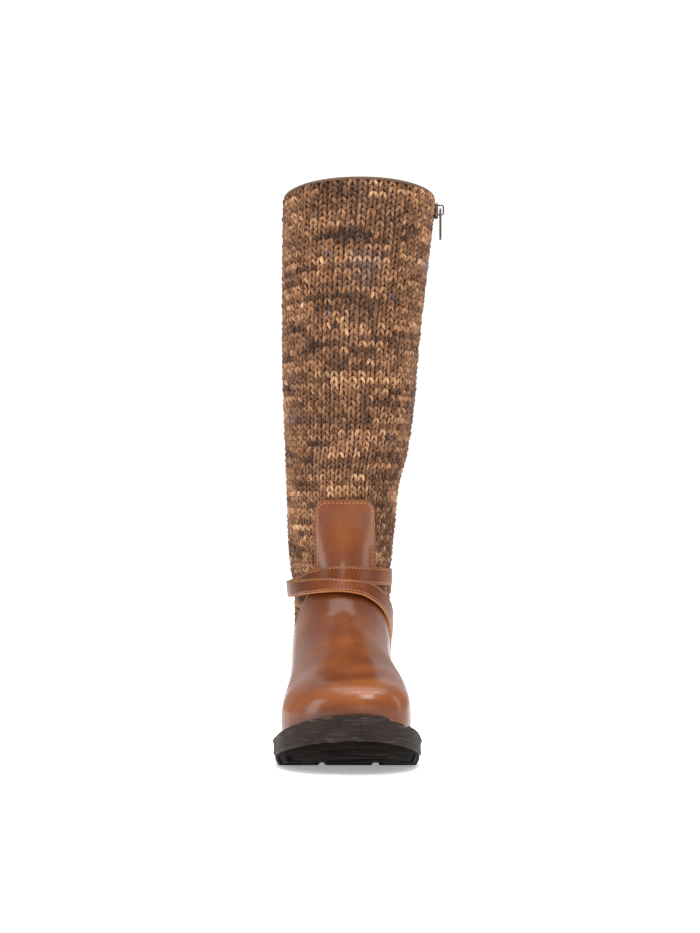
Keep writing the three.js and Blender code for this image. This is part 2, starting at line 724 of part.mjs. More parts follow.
function strap(path, steps, rounded) {
  const index = path.map((_, i) => i);
  const turnAt = smooth(index, column(path, 'turn'));
  const heightAt = smooth(index, column(path, 'height'));
  const liftAt = smooth(index, column(path, 'lift'));
  const last = path.length - 1;
  const place = (t, offset) => skin(rowAt(turnAt(t), heightAt(t)), turnAt(t), offset);
  const cuts = [];
  for (let i = 0; i <= steps; i += 1) cuts.push({ t: (last * i) / steps, width: 1 });
  if (rounded) {
    const reach = place(last, 0).distanceTo(place(last - 0.2, 0)) / 0.2;
    const start = last - STRAP_TIP / reach;
    while (cuts[cuts.length - 1].t > start - 0.05) cuts.pop();
    for (const share of TIP_SHARES) {
      cuts.push({ t: start + (last - start) * share, width: Math.sqrt(1 - share * share) });
    }
  }
  const rings = cuts.map(({ t, width }) => {
    const [t0, t1] = [Math.max(0, t - 0.05), Math.min(last, t + 0.05)];
    const ahead = place(t1, 0).sub(place(t0, 0)).normalize();
    const here = place(t, 0);
    const out = place(t, 1).sub(here);
    const across = ahead.clone().cross(out).normalize();
    const turn = turnAt(t);
    const step = 0.01;
    const round = onForm(rowAt(turn + step, here.z), turn + step).sub(onForm(rowAt(turn, here.z), turn));
    const perTurn = round.length() / step;
    const flat = across.dot(round.normalize());
    const corner = (side, offset) => {
      const reach = (side * width * STRAP_WIDTH) / 2;
      const sideTurn = turn + (reach * flat) / perTurn;
      return skin(rowAt(sideTurn, here.z + reach * across.z), sideTurn, offset);
    };
    const lift = liftAt(t);
    return [corner(-1, lift + STRAP), corner(1, lift + STRAP), corner(1, lift), corner(-1, lift)];
  });
  return solid(loft(rings));
}

// The bound edge lies on the wall's upper end, with its two ends at the zip.
const BINDING_FROM = 0.01; // turn of the zip's front edge

function binding() {
  const halfSlot = (ZIP_SLOT / 2 + GAP) / (Math.PI * COLLAR_DEPTH);
  const [low, high] = [BINDING_FROM + halfSlot, 1 - halfSlot];
  const ring = (turn) => {
    const z = collar(onForm(LAST_ROW - 0.5, turn).y);
    const at = (offset, lift) => {
      const p = skin(rowAt(turn, z), turn, offset);
      return new THREE.Vector3(p.x, p.y, z + lift);
    };
    const [inside, outside] = [-KNIT_WALL - BINDING_LIP, BINDING_LIP];
    return [
      at(inside, BINDING_SEAT),
      at(outside, BINDING_SEAT),
      at(outside + BINDING_SWELL, BINDING_HEIGHT / 2),
      at(outside - BINDING_ROUND, BINDING_HEIGHT),
      at(inside + BINDING_ROUND, BINDING_HEIGHT),
      at(inside - BINDING_SWELL, BINDING_HEIGHT / 2),
    ];
  };
  const rings = Array.from({ length: BINDING_STEPS + 1 }, (_, i) => (
    ring(low + ((high - low) * i) / BINDING_STEPS)
  ));
  return solid(loft(rings));
}

const ZIP_FROM = FIRST_ANKLE - 2;

function zipTape() {
  const inside = -KNIT_WALL - GAP;
  const sheet = form(inside, ZIP_FROM).subtract(form(inside - TAPE, ZIP_FROM));
  const strip = zipStrip(ZIP_TAPE, ZIP_FOOT - ZIP_TEETH, SHAFT_HEIGHT + TOP_SPARE);
  return sheet.intersect(strip).intersect(aboveSole(0, ZIP_STOP / 2));
}

function zipTeeth() {
  const rib = form(-TEETH_DEPTH, ZIP_FROM).subtract(form(-KNIT_WALL, ZIP_FROM));
  const strip = zipStrip(ZIP_TEETH, ZIP_FOOT + GAP, SHAFT_HEIGHT + TOP_SPARE);
  return rib.intersect(strip).intersect(aboveSole(0, ZIP_STOP));
}

// The slider's middle lies on the outer face of the knit, over the teeth.
const sliderZ = collar(zipY(SHAFT_HEIGHT)) - SLIDER_DROP;
const sliderY = zipY(sliderZ);

function innerFace(y, z) {
  let [low, high] = [-0.1, 0.1];
  for (let i = 0; i < 30; i += 1) {
    const middle = (low + high) / 2;
    if (skin(rowAt(middle, z), middle, 0).y > y) low = middle;
    else high = middle;
  }
  return skin(rowAt(low, z), low, 0).x;
}

const sliderX = innerFace(sliderY, sliderZ + SLIDER_LENGTH / 2);
const pivotX = SLIDER_STANDOFF + SLIDER + BAIL_REACH / 2;

function box(x0, x1, width, z0, z1) {
  return solid(new THREE.BoxGeometry(x1 - x0, width, z1 - z0).translate((x0 + x1) / 2, 0, (z0 + z1) / 2));
}

// Half of the slider's outline: shares of its half width and half length.
const sliderShape = table(['across', 'up'], [
  [0.7, -1],
  [1, 0.1],
  [1, 0.8],
  [0.7, 1],
]);
const BAIL_FOOT = -0.4; // the loop's lower leg, as a share of the half length

function zipSlider() {
  const face = SLIDER_STANDOFF + SLIDER;
  const half = SLIDER_LENGTH / 2;
  const right = sliderShape.map(({ across, up }) => [(across * SLIDER_WIDTH) / 2, up * half]);
  const left = right.map(([y, z]) => [-y, z]).reverse();
  const body = fromSide([...right, ...left], SLIDER_STANDOFF, face);
  const keel = box(-TEETH_DEPTH, face - 1, ZIP_TEETH - 1, -half, half);
  const reach = face + BAIL_REACH;
  const loop = [
    box(face - 1, reach + BAIL, BAIL_WIDTH, half - 1 - BAIL, half - 1),
    box(face - 1, reach + BAIL, BAIL_WIDTH, half * BAIL_FOOT - BAIL, half * BAIL_FOOT),
    box(reach, reach + BAIL, BAIL_WIDTH, half * BAIL_FOOT - BAIL, half - 1),
  ];
  return union([body, keel, ...loop]);
}

const BAR_RISE = 0.1; // the pull's bar over the slider's middle, as a share of the slider's length

// The pull hangs from a bar that lies in the slider's loop. Its own origin is that bar.
// Its window reaches past the loop's lower outer corner, so that it swings round it.
function zipPull() {
  const bar = PULL;
  const half = PULL_WIDTH / 2;
  const loopFoot = SLIDER_LENGTH * BAR_RISE - (SLIDER_LENGTH / 2) * BAIL_FOOT + BAIL;
  const reach = Math.hypot(BAIL_REACH / 2 + BAIL, loopFoot) + GAP;
  const end = Array.from({ length: 9 }, (_, i) => {
    const angle = Math.PI + (i * Math.PI) / 8;
    return [half * Math.cos(angle), half - PULL_LENGTH + half * Math.sin(angle)];
  });
  const leaf = fromSide([...end, [half, bar / 2], [-half, bar / 2]], -PULL / 2, PULL / 2);
  const window = box(-PULL, PULL, PULL_WINDOW, -reach, -bar / 2);
  return leaf.subtract(window);
}

function piece(name, look, made, parent) {
  const geometry = geometryOf(made);
  geometry.computeVertexNormals();
  const mesh = new THREE.Mesh(geometry, new THREE.MeshStandardMaterial(palette[look]));
  mesh.name = name;
  parent.add(mesh);
  return mesh;
}

const boot = new THREE.Group();
piece('outsole', 'tread', tread(), boot);
piece('heel', 'tread', heel(), boot);
piece('midsole', 'rubber', midsole(), boot);
piece('insole', 'lining', insole(), boot);
piece('upper', 'knit', upper(), boot);
piece('collar_binding', 'tape', binding(), boot);
piece('vamp', 'leather', vamp(), boot);
piece('counter', 'leather', counter(), boot);
piece('ankle_strap_under', 'strap', strap(underStrapPath, UNDER_STEPS, false), boot);
piece('ankle_strap_over', 'strap', strap(overStrapPath, OVER_STEPS, true), boot);
piece('zip_tape', 'tape', zipTape(), boot);
piece('zip_teeth', 'metal', zipTeeth(), boot);

const zipHead = new THREE.Group();
zipHead.position.set(sliderX, sliderY, sliderZ);
boot.add(zipHead);
piece('zip_slider', 'metal', zipSlider(), zipHead);

const hangingPull = new THREE.Group();
hangingPull.position.set(pivotX, 0, SLIDER_LENGTH * BAR_RISE);
zipHead.add(hangingPull);
piece('zip_pull', 'metal', zipPull(), hangingPull);

export default boot;
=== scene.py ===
"""A tall boot with a knitted shaft on a leather foot, dressed over its fixed frame.

Sizes are the boot's own, in millimetres, and become metres when a mesh is made. The toe points
along -Y, +X is the inner side of the foot and the floor is at Z = 0.
"""

import logging
from dataclasses import dataclass, field
from enum import Enum

import bpy
import numpy as np
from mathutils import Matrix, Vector


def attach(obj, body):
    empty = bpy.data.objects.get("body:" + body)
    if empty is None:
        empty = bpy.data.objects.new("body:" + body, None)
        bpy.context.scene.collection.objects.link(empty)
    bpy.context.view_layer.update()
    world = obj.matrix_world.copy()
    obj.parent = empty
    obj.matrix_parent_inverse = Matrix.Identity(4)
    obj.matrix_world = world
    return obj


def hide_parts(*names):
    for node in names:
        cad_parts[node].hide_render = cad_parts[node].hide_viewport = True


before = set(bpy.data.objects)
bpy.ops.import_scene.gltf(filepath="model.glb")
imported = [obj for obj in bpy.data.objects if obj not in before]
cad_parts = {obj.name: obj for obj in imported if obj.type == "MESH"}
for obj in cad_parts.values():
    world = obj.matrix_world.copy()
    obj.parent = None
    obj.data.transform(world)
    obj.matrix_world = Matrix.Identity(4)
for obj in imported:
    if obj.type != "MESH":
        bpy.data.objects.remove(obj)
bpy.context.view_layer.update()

LOG = logging.getLogger("boot")
MM = 0.001
Array = np.ndarray


class Body(Enum):
    """The moving bodies of the boot."""

    BOOT = "boot"
    PULL = "zip_pull"


class Slot(Enum):
    """The record's material slots."""

    KNIT = "knit"
    LEATHER = "leather"
    RUBBER = "rubber"
    TAPE = "tape"
    METAL = "metal"


@dataclass(frozen=True)
class Sizes:
    """The boot's named sizes, in millimetres."""

    sole_length: float = 278.0
    sole_back: float = 38.0
    sole_width: float = 105.0
    heel_block: float = 22.0
    band: float = 11.5
    tread: float = 7.0
    lug_depth: float = 4.5
    toe_spring: float = 17.5
    heel_length: float = 70.0
    ledge: float = 5.0
    wall: float = 3.6
    leather: float = 1.9
    ball_width: float = 88.8
    ankle_width: float = 80.0
    collar_width: float = 119.0
    collar_depth: float = 123.0
    toe_box: float = 41.0
    toe_lip: float = 4.0
    toe_apex: float = 15.0
    toe_plan: float = 0.7
    toe_rise: float = 0.5
    ankle_height: float = 155.0
    shaft_height: float = 434.0
    collar_drop: float = 11.0
    collar_round: float = 1.3
    undercut: float = 8.0
    top_spare: float = 14.0
    gap: float = 0.3
    zip_top_y: float = -3.0
    zip_foot_y: float = -15.0
    zip_foot: float = 84.0
    zip_slot: float = 8.0


SIZE = Sizes()
COLLAR_FRONT = -0.532 * SIZE.collar_depth


def lerp(a: Array, b: Array, share: Array) -> Array:
    """The value that lies a share of the way from a to b."""
    return a + (b - a) * share


def ease(x: Array) -> Array:
    """A smooth step: 0 up to 0, 1 from 1 on, and 3x^2 - 2x^3 between."""
    t = np.clip(x, 0.0, 1.0)
    return t * t * (3 - 2 * t)


def unit(v: Array) -> Array:
    """Vectors scaled to length 1."""
    return v / np.maximum(np.linalg.norm(v, axis=-1, keepdims=True), 1e-12)


def run_along(points: Array) -> Array:
    """Distance run from each path's first point; the paths lie on the last axis but one."""
    steps = np.linalg.norm(np.diff(points, axis=-2), axis=-1)
    return np.concatenate([np.zeros((*steps.shape[:-1], 1)), np.cumsum(steps, -1)], -1)


def along(y: Array) -> Array:
    """Share of the sole's length, from the back."""
    return (SIZE.sole_back - y) / SIZE.sole_length


def y_at(share: Array) -> Array:
    """Y of a share of the sole's length."""
    return SIZE.sole_back - share * SIZE.sole_length


def collar(y: Array) -> Array:
    """Height of the collar: the front's height, less the drop times 1 - share^1.3 towards the sides."""
    share = np.clip(y / COLLAR_FRONT, 0.0, 1.0)
    return SIZE.shaft_height - SIZE.collar_drop * (1 - share**SIZE.collar_round)


def zip_y(z: Array) -> Array:
    """Y of the zip's middle line at a height, on a straight line from its foot to the collar."""
    share = (z - SIZE.zip_foot) / (SIZE.shaft_height - SIZE.zip_foot)
    return lerp(SIZE.zip_foot_y, SIZE.zip_top_y, share)


def cloud(rng: np.random.Generator, shape: tuple[int, int], cell: tuple[int, int]) -> Array:
    """A soft random field: normal values at the corners of cells, blended between them.

    Args:
        rng: The seeded source.
        shape: Rows and columns of the field.
        cell: Rows and columns of a cell.

    Returns:
        The field.
    """
    knots = rng.normal(0, 1, (shape[0] // cell[0] + 2, shape[1] // cell[1] + 2))
    a, b = np.arange(shape[0]) / cell[0], np.arange(shape[1]) / cell[1]
    i, j = a.astype(int), b.astype(int)
    u, v = ease(a - i)[:, None], ease(b - j)[None]
    low = lerp(knots[i][:, j], knots[i][:, j + 1], v)
    high = lerp(knots[i + 1][:, j], knots[i + 1][:, j + 1], v)
    return lerp(low, high, u)


class Curve:
    """Smooth curves through the columns of a table, one cubic a span, that never swing past it."""

    def __init__(self, xs: Array, ys: Array) -> None:
        """Works out each span's cubic from harmonic means of the slopes.

        Args:
            xs: Places, rising.
            ys: Values at them, one column a curve.
        """
        self.xs = np.asarray(xs, float)
        ys = np.asarray(ys, float).reshape(len(self.xs), -1)
        h = np.diff(self.xs)[:, None]
        slope = np.diff(ys, axis=0) / h
        a, b = slope[:-1], slope[1:]
        product = a * b
        total = np.where(np.abs(a + b) < 1e-12, 1.0, a + b)
        middle = np.where(product <= 0, 0.0, 2 * product / total)
        tangent = np.vstack([slope[:1], middle, slope[-1:]])
        first, last, rise = h * tangent[:-1], h * tangent[1:], np.diff(ys, axis=0)
        self.cubic = np.stack([ys[:-1], first, 3 * rise - 2 * first - last, first + last - 2 * rise])

    def __call__(self, x: Array) -> Array:
        """Values at x.

        Args:
            x: Places, any shape; past the ends they are held.

        Returns:
            Values of the same shape, with one more axis where the table has several columns.
        """
        at = np.clip(np.asarray(x, float), self.xs[0], self.xs[-1])
        i = np.clip(np.searchsorted(self.xs, at, side="right") - 1, 0, len(self.xs) - 2)
        t = ((at - self.xs[i]) / (self.xs[i + 1] - self.xs[i]))[..., None]
        c = self.cubic[:, i]
        value = c[0] + t * (c[1] + t * (c[2] + t * c[3]))
        return value[..., 0] if value.shape[-1] == 1 else value


class SoleShape:
    """The sole's heights along its length and its outline from above."""

    # share of the length; share of heel block, toe spring, tread and band
    LAYERS = np.array([
        [0.0, 1.0, 0.0, 0.0, 1.08],
        [0.14, 1.0, 0.0, 0.0, 1.04],
        [0.26, 0.77, 0.0, 0.43, 1.0],
        [0.35, 0.57, 0.0, 0.57, 0.98],
        [0.44, 0.18, 0.0, 1.0, 1.0],
        [0.485, 0.0, 0.0, 1.12, 1.0],
        [0.57, 0.0, 0.0, 1.0, 1.0],
        [0.71, 0.0, 0.0, 1.0, 1.0],
        [0.785, 0.0, 0.12, 1.05, 1.09],
        [0.855, 0.0, 0.35, 1.07, 1.25],
        [0.93, 0.0, 0.65, 1.1, 1.43],
        [1.0, 0.0, 1.0, 1.14, 1.61],
    ])
    # share of the length; outer and inner side as shares of the sole's width
    OUTLINE = np.array([
        [0.016, 0.19, 0.19],
        [0.068, 0.295, 0.3],
        [0.137, 0.33, 0.335],
        [0.245, 0.325, 0.33],
        [0.353, 0.345, 0.33],
        [0.46, 0.395, 0.37],
        [0.568, 0.455, 0.46],
        [0.683, 0.488, 0.52],
        [0.791, 0.472, 0.519],
        [0.892, 0.39, 0.465],
        [0.969, 0.205, 0.32],
    ])
    SAMPLES = 1500

    def __init__(self) -> None:
        """Sets up the layers' curves and samples the outline."""
        self.layers = Curve(self.LAYERS[:, 0], self.LAYERS[:, 1:])
        self.loop = self._loop()
        ahead = np.roll(self.loop, -1, 0) - np.roll(self.loop, 1, 0)
        self.inward = unit(np.stack([-ahead[:, 1], ahead[:, 0]], -1))

    def _loop(self) -> Array:
        """The outline as a closed centripetal Catmull-Rom curve through the table's points.

        Returns:
            Points [x, y] from the heel's tip along the outer side to the toe's tip and back.
        """
        rows = self.OUTLINE
        outer = np.stack([-rows[:, 1] * SIZE.sole_width, y_at(rows[:, 0])], -1)
        inner = np.stack([rows[:, 2] * SIZE.sole_width, y_at(rows[:, 0])], -1)[::-1]
        knots = np.vstack([[[0.0, SIZE.sole_back]], outer, [[SIZE.toe_apex, y_at(1.0)]], inner])
        count = len(knots)
        p = np.arange(2 * self.SAMPLES) / (2 * self.SAMPLES) * count
        i = np.floor(p).astype(int)
        t = (p - i)[:, None]
        p0, p1, p2, p3 = (knots[(i + k) % count] for k in (-1, 0, 1, 2))
        spans = ((p0, p1), (p1, p2), (p2, p3))
        d0, d1, d2 = (np.sqrt(np.linalg.norm(b - a, axis=1))[:, None] for a, b in spans)
        m1 = ((p1 - p0) / d0 - (p2 - p0) / (d0 + d1) + (p2 - p1) / d1) * d1
        m2 = ((p2 - p1) / d1 - (p3 - p1) / (d1 + d2) + (p3 - p2) / d2) * d1
        return p1 + t * (m1 + t * (3 * (p2 - p1) - 2 * m1 - m2 + t * (m1 + m2 - 2 * (p2 - p1))))

    def sides(self, inset: Array, shares: Array) -> tuple[Array, Array, Array]:
        """Both sides of the outline moved inwards, at the same places along it.

        Args:
            inset: How far inwards, one value.
            shares: Shares from the moved outline's back to its toe.

        Returns:
            X of the outer side, X of the inner side, and Y, one value a share.
        """
        moved = self.loop + self.inward * inset
        moved = np.roll(moved, -int(np.argmax(moved[:, 1])), 0)
        toe = int(np.argmin(moved[:, 1]))
        outer, inner = moved[: toe + 1], np.vstack([moved[toe:], moved[:1]])[::-1]
        y = lerp(moved[0, 1], moved[toe, 1], shares)
        return (
            np.interp(-y, -outer[:, 1], outer[:, 0]),
            np.interp(-y, -inner[:, 1], inner[:, 0]),
            y,
        )

    def tread_bottom(self, y: Array) -> Array:
        """Height of the tread's underside: heel block and toe spring, each by its own curve."""
        c = self.layers(along(y))
        return SIZE.heel_block * c[..., 0] + SIZE.toe_spring * c[..., 1]

    def band_bottom(self, y: Array) -> Array:
        """Height where the tread meets the midsole."""
        return self.tread_bottom(y) + SIZE.tread * self.layers(along(y))[..., 2]

    def seat(self, y: Array) -> Array:
        """Height of the sole's top, where the upper stands."""
        return self.band_bottom(y) + SIZE.band * self.layers(along(y))[..., 3]


SOLE = SoleShape()


class Last:
    """The form that the upper is made on: sections in planes that fan round from toe to collar.

    A point is given by a row, from -1 at the toe's tip to 22 over the collar, and a turn round the
    section: 0 the inner side, a quarter the front line, a half the outer side.
    """

    # front, height, back, outer, inner, crest, belly, low, high
    FOOT = np.array([
        [0.82, 0.445, 0.82, 0.48, 0.508, 0.07, 0.4, 3.6, 2.5],
        [0.694, 0.485, 0.694, 0.488, 0.512, 0.05, 0.38, 3.4, 2.3],
        [0.586, 0.555, 0.56, 0.465, 0.46, 0.03, 0.38, 3.0, 2.2],
        [0.5, 0.63, 0.42, 0.44, 0.405, 0.0, 0.4, 3.0, 2.1],
        [0.437, 0.715, 0.275, 0.432, 0.37, 0.0, 0.44, 3.0, 2.1],
        [0.397, 0.8, 0.135, 0.43, 0.372, 0.0, 0.46, 2.9, 2.1],
        [0.384, 0.87, 0.022, 0.428, 0.38, 0.0, 0.48, 2.7, 2.1],
    ])
    # front, height, back, back height, outer, inner, belly, low, high
    ANKLE = np.array([
        [0.374, 0.935, 0.012, 0.2, 0.478, 0.432, 0.5, 2.5, 2.1],
        [0.366, 1.02, 0.014, 0.46, 0.497, 0.43, 0.5, 2.3, 2.1],
        [0.362, 1.12, 0.034, 0.75, 0.54, 0.46, 0.5, 2.1, 2.1],
    ])
    # up, tilt, forward, behind, outer, inner
    SHAFT = np.array([
        [0.14, 0.1, 0.51, 0.275, 0.376, 0.345],
        [0.25, 0.06, 0.512, 0.315, 0.386, 0.41],
        [0.37, 0.03, 0.516, 0.352, 0.397, 0.452],
        [0.51, 0.01, 0.52, 0.39, 0.404, 0.478],
        [0.74, 0.0, 0.526, 0.442, 0.403, 0.54],
        [0.89, 0.0, 0.53, 0.464, 0.398, 0.582],
        [1.0, 0.0, 0.532, 0.472, 0.4, 0.6],
    ])
    TOE_DEGREES = np.array([90.0, 87.0, 82.0, 73.0, 60.0, 44.0, 24.0])
    BASE = 6
    TOP = 22

    def __init__(self) -> None:
        """Turns the three tables into one table of sections from the toe's base up."""
        f, a, s = self.FOOT, self.ANKLE, self.SHAFT
        heel = SIZE.heel_block + SIZE.band
        back = y_at(f[:, 2])
        foot = np.stack([
            y_at(f[:, 0]), f[:, 1] * SIZE.ankle_height, back, SOLE.seat(back) - SIZE.undercut,
            f[:, 3] * SIZE.ball_width, f[:, 4] * SIZE.ball_width, f[:, 5] * SIZE.ball_width,
            f[:, 6], f[:, 7], f[:, 8],
        ], -1)
        none, half = np.zeros(len(a)), np.full(len(s), 0.5)
        ankle = np.stack([
            y_at(a[:, 0]), a[:, 1] * SIZE.ankle_height, y_at(a[:, 2]),
            heel + a[:, 3] * (SIZE.ankle_height - heel),
            a[:, 4] * SIZE.ankle_width, a[:, 5] * SIZE.ankle_width, none, a[:, 6], a[:, 7], a[:, 8],
        ], -1)
        z = lerp(SIZE.ankle_height, SIZE.shaft_height + SIZE.top_spare, s[:, 0])
        lean = s[:, 1] * (SIZE.shaft_height - SIZE.ankle_height) / 2
        round_ = np.full(len(s), 2.1)
        shaft = np.stack([
            -s[:, 2] * SIZE.collar_depth, z + lean, s[:, 3] * SIZE.collar_depth, z - lean,
            s[:, 4] * SIZE.collar_width, s[:, 5] * SIZE.collar_width, np.zeros(len(s)), half, round_, round_,
        ], -1)
        rows = np.vstack([self.toe(foot[0]), foot, ankle, shaft])
        self.curve = Curve(np.arange(-1, len(rows) - 1), rows)

    def toe(self, base: Array) -> Array:
        """The toe's sections, from its tip to its base.

        They follow the angle a round the toe: its place by sin a, its width by cos^0.7 a, its middle
        by sin^2 a and its height by cos^0.5 a.

        Args:
            base: The ten values of the toe's base: y and z of the front line, y and z of the back line,
                outer, inner, crest, belly, low, high.

        Returns:
            Ten values a section.
        """
        b = base
        angle = np.radians(self.TOE_DEGREES)
        sin, cos = np.sin(angle), np.maximum(np.cos(angle), 0.0)
        tip = y_at(1.0) + SIZE.ledge + SIZE.leather + SIZE.gap
        y = b[0] + (tip - b[0]) * sin
        half = (b[4] + b[5]) / 2 * cos**SIZE.toe_plan
        middle = lerp((b[5] - b[4]) / 2, SIZE.toe_apex, sin**2)
        top = lerp(SOLE.seat(tip) + SIZE.toe_lip, SOLE.seat(b[0]) + SIZE.toe_box, cos**SIZE.toe_rise)
        fixed = [np.full_like(y, v) for v in b[7:]]
        return np.stack([y, top, y, SOLE.seat(y) - SIZE.undercut, half - middle, half + middle,
                         b[6] * cos, *fixed], -1)

    def point(self, row: Array, turn: Array) -> Array:
        """A point of the form: each quarter of a section is a superellipse about its belly.

        Args:
            row: Row numbers.
            turn: Turns round the section.

        Returns:
            Points, with a last axis of 3.
        """
        row, turn = np.broadcast_arrays(np.asarray(row, float), np.asarray(turn, float))
        s = self.curve(row)
        c, h = np.cos(2 * np.pi * turn), np.sin(2 * np.pi * turn)
        power = 2 / np.where(h < 0, s[..., 8], s[..., 9])
        across = np.sign(c) * np.abs(c) ** power
        rise = np.abs(h) ** power
        belly = s[..., 7]
        up = np.where(h < 0, belly * (1 - rise), belly + (1 - belly) * rise)
        middle = (s[..., 5] - s[..., 4]) / 2 + np.where(h > 0, s[..., 6] * rise * rise, 0.0)
        return np.stack([
            middle + across * (s[..., 5] + s[..., 4]) / 2,
            lerp(s[..., 2], s[..., 0], up),
            lerp(s[..., 3], s[..., 1], up),
        ], -1)

    def outward(self, row: Array, turn: Array) -> Array:
        """The form's outward direction, square to the steps along the row and round the section.

        Args:
            row: Row numbers.
            turn: Turns round the section.

        Returns:
            Directions of length 1.
        """
        row = np.clip(row, -0.95, self.TOP - 0.02)
        rows = self.point(row + 0.02, turn) - self.point(row - 0.02, turn)
        turns = self.point(row, turn + 0.005) - self.point(row, turn - 0.005)
        return unit(np.cross(rows, turns))

    def skin(self, row: Array, turn: Array, offset: Array) -> Array:
        """Points moved outwards by an offset, square to the form."""
        offset = np.asarray(offset, float)
        return self.point(row, turn) + self.outward(np.asarray(row, float), turn) * offset[..., None]

    def row_at(self, turn: Array, z: Array) -> Array:
        """The row that passes a height at a turn, by halving.

        Args:
            turn: Turns.
            z: Heights.

        Returns:
            Row numbers between the toe's base and the top.
        """
        turn, z = np.broadcast_arrays(np.asarray(turn, float), np.asarray(z, float))
        low, high = np.full(turn.shape, float(self.BASE)), np.full(turn.shape, float(self.TOP))
        for _ in range(22):
            middle = (low + high) / 2
            under = self.point(middle, turn)[..., 2] < z
            low, high = np.where(under, middle, low), np.where(under, high, middle)
        return (low + high) / 2

    def turn_at(self, value: Array, z: Array, axis: int, low: float, high: float) -> Array:
        """The turn at which a level ring passes a value that falls with the turn, by halving.

        Args:
            value: Values of X or Y.
            z: Heights.
            axis: 0 for X, 1 for Y.
            low: Turn where the search begins.
            high: Turn where it ends.

        Returns:
            Turns.
        """
        value, z = np.broadcast_arrays(np.asarray(value, float), np.asarray(z, float))
        a, b = np.full(z.shape, low), np.full(z.shape, high)
        for _ in range(18):
            middle = (a + b) / 2
            over = self.point(self.row_at(middle, z), middle)[..., axis] > value
            a, b = np.where(over, middle, a), np.where(over, b, middle)
        return (a + b) / 2


LAST = Last()


class Chart:
    """The upper's skin unrolled between two lines: a share round the leg and a level up it."""

    DENSE = 480
    LIFT_FROM = 230.0
    LIFT_OVER = 193.0

    def __init__(self, levels: Array, start: Array, end: Array, columns: int) -> None:
        """Cuts the skin into rings of equal steps, which rise to the collar's line near the top.

        Args:
            levels: Heights, in equal steps.
            start: Turn where each ring begins.
            end: Turn where it ends.
            columns: Points round each ring.
        """
        self.levels = levels
        z = np.repeat(levels[:, None], self.DENSE, 1)
        turns = lerp(start[:, None], end[:, None], np.linspace(0, 1, self.DENSE))
        rows = LAST.row_at(turns, z)
        points = LAST.point(rows, turns)
        share = ease((levels[:, None] - self.LIFT_FROM) / self.LIFT_OVER)
        rows = LAST.row_at(turns, z + (collar(points[..., 1]) - collar(0.0)) * share)
        run = run_along(LAST.point(rows, turns))
        even = np.linspace(0, 1, columns)
        turn, row = (np.stack([np.interp(even * r[-1], r, v) for r, v in zip(run, values)])
                     for values in (turns, rows))
        self.table = np.concatenate([
            LAST.point(row, turn),
            LAST.outward(row, turn),
            turn[..., None],
            np.repeat(run[:, -1:], columns, 1)[..., None],
        ], -1)

    def look(self, share: Array, level: Array) -> Array:
        """The table's values between its points, blended from the four nearest.

        Args:
            share: Shares round the ring.
            level: Levels.

        Returns:
            Point, outward direction, turn and ring length, on the last axis.
        """
        rows, columns = self.table.shape[:2]
        a = np.clip(share, 0, 1) * (columns - 1)
        b = np.clip((level - self.levels[0]) / (self.levels[1] - self.levels[0]), 0, rows - 1.001)
        i, j = np.clip(a.astype(int), 0, columns - 2), b.astype(int)
        u, v = (a - i)[..., None], (b - j)[..., None]
        low = lerp(self.table[j, i], self.table[j, i + 1], u)
        high = lerp(self.table[j + 1, i], self.table[j + 1, i + 1], u)
        return lerp(low, high, v)


def grid_faces(rows: int, columns: int, closed: bool = False, start: int = 0) -> Array:
    """Quads of a grid of points stored row by row.

    Args:
        rows: Rows of points.
        columns: Points in a row.
        closed: Whether each row closes on itself.
        start: Number of the first point.

    Returns:
        Point numbers, four a face.
    """
    i = np.arange(rows - 1)[:, None] * columns
    j = np.arange(columns if closed else columns - 1)[None, :]
    k = (j + 1) % columns
    return start + np.stack([i + j, i + k, i + columns + k, i + columns + j], -1).reshape(-1, 4)


def fan(ring: Array, centre: int, flip: bool) -> Array:
    """Triangles from each edge of a ring to a centre point.

    Args:
        ring: Point numbers of the ring.
        centre: Number of the centre point.
        flip: Whether the triangles face the other way.

    Returns:
        Point numbers, three a face.
    """
    ahead = np.roll(ring, -1)
    pair = (ahead, ring) if flip else (ring, ahead)
    return np.stack([*pair, np.full(len(ring), centre)], -1)


@dataclass
class Surface:
    """Points with their faces and values, in millimetres."""

    points: Array
    faces: list[Array]
    values: dict[str, Array] = field(default_factory=dict)

    def joined(self, other: "Surface") -> "Surface":
        """This surface and another as one.

        Args:
            other: A surface with the same values.

        Returns:
            Both.
        """
        start = len(self.points)
        values = {k: np.concatenate([v, other.values[k]]) for k, v in self.values.items()}
        faces = self.faces + [f + start for f in other.faces]
        return Surface(np.vstack([self.points, other.points]), faces, values)

    def volume(self) -> float:
        """The signed volume: a sixth of the sum of a . (b x c) over its triangles."""
        total = 0.0
        for faces in self.faces:
            a = self.points[faces[:, 0]]
            for k in range(1, faces.shape[1] - 1):
                b, c = self.points[faces[:, k]], self.points[faces[:, k + 1]]
                total += float(np.sum(a * np.cross(b, c)))
        return total / 6

    def outwards(self) -> "Surface":
        """The same surface with its faces turned outwards."""
        if self.volume() < 0:
            self.faces = [f[:, ::-1] for f in self.faces]
        return self


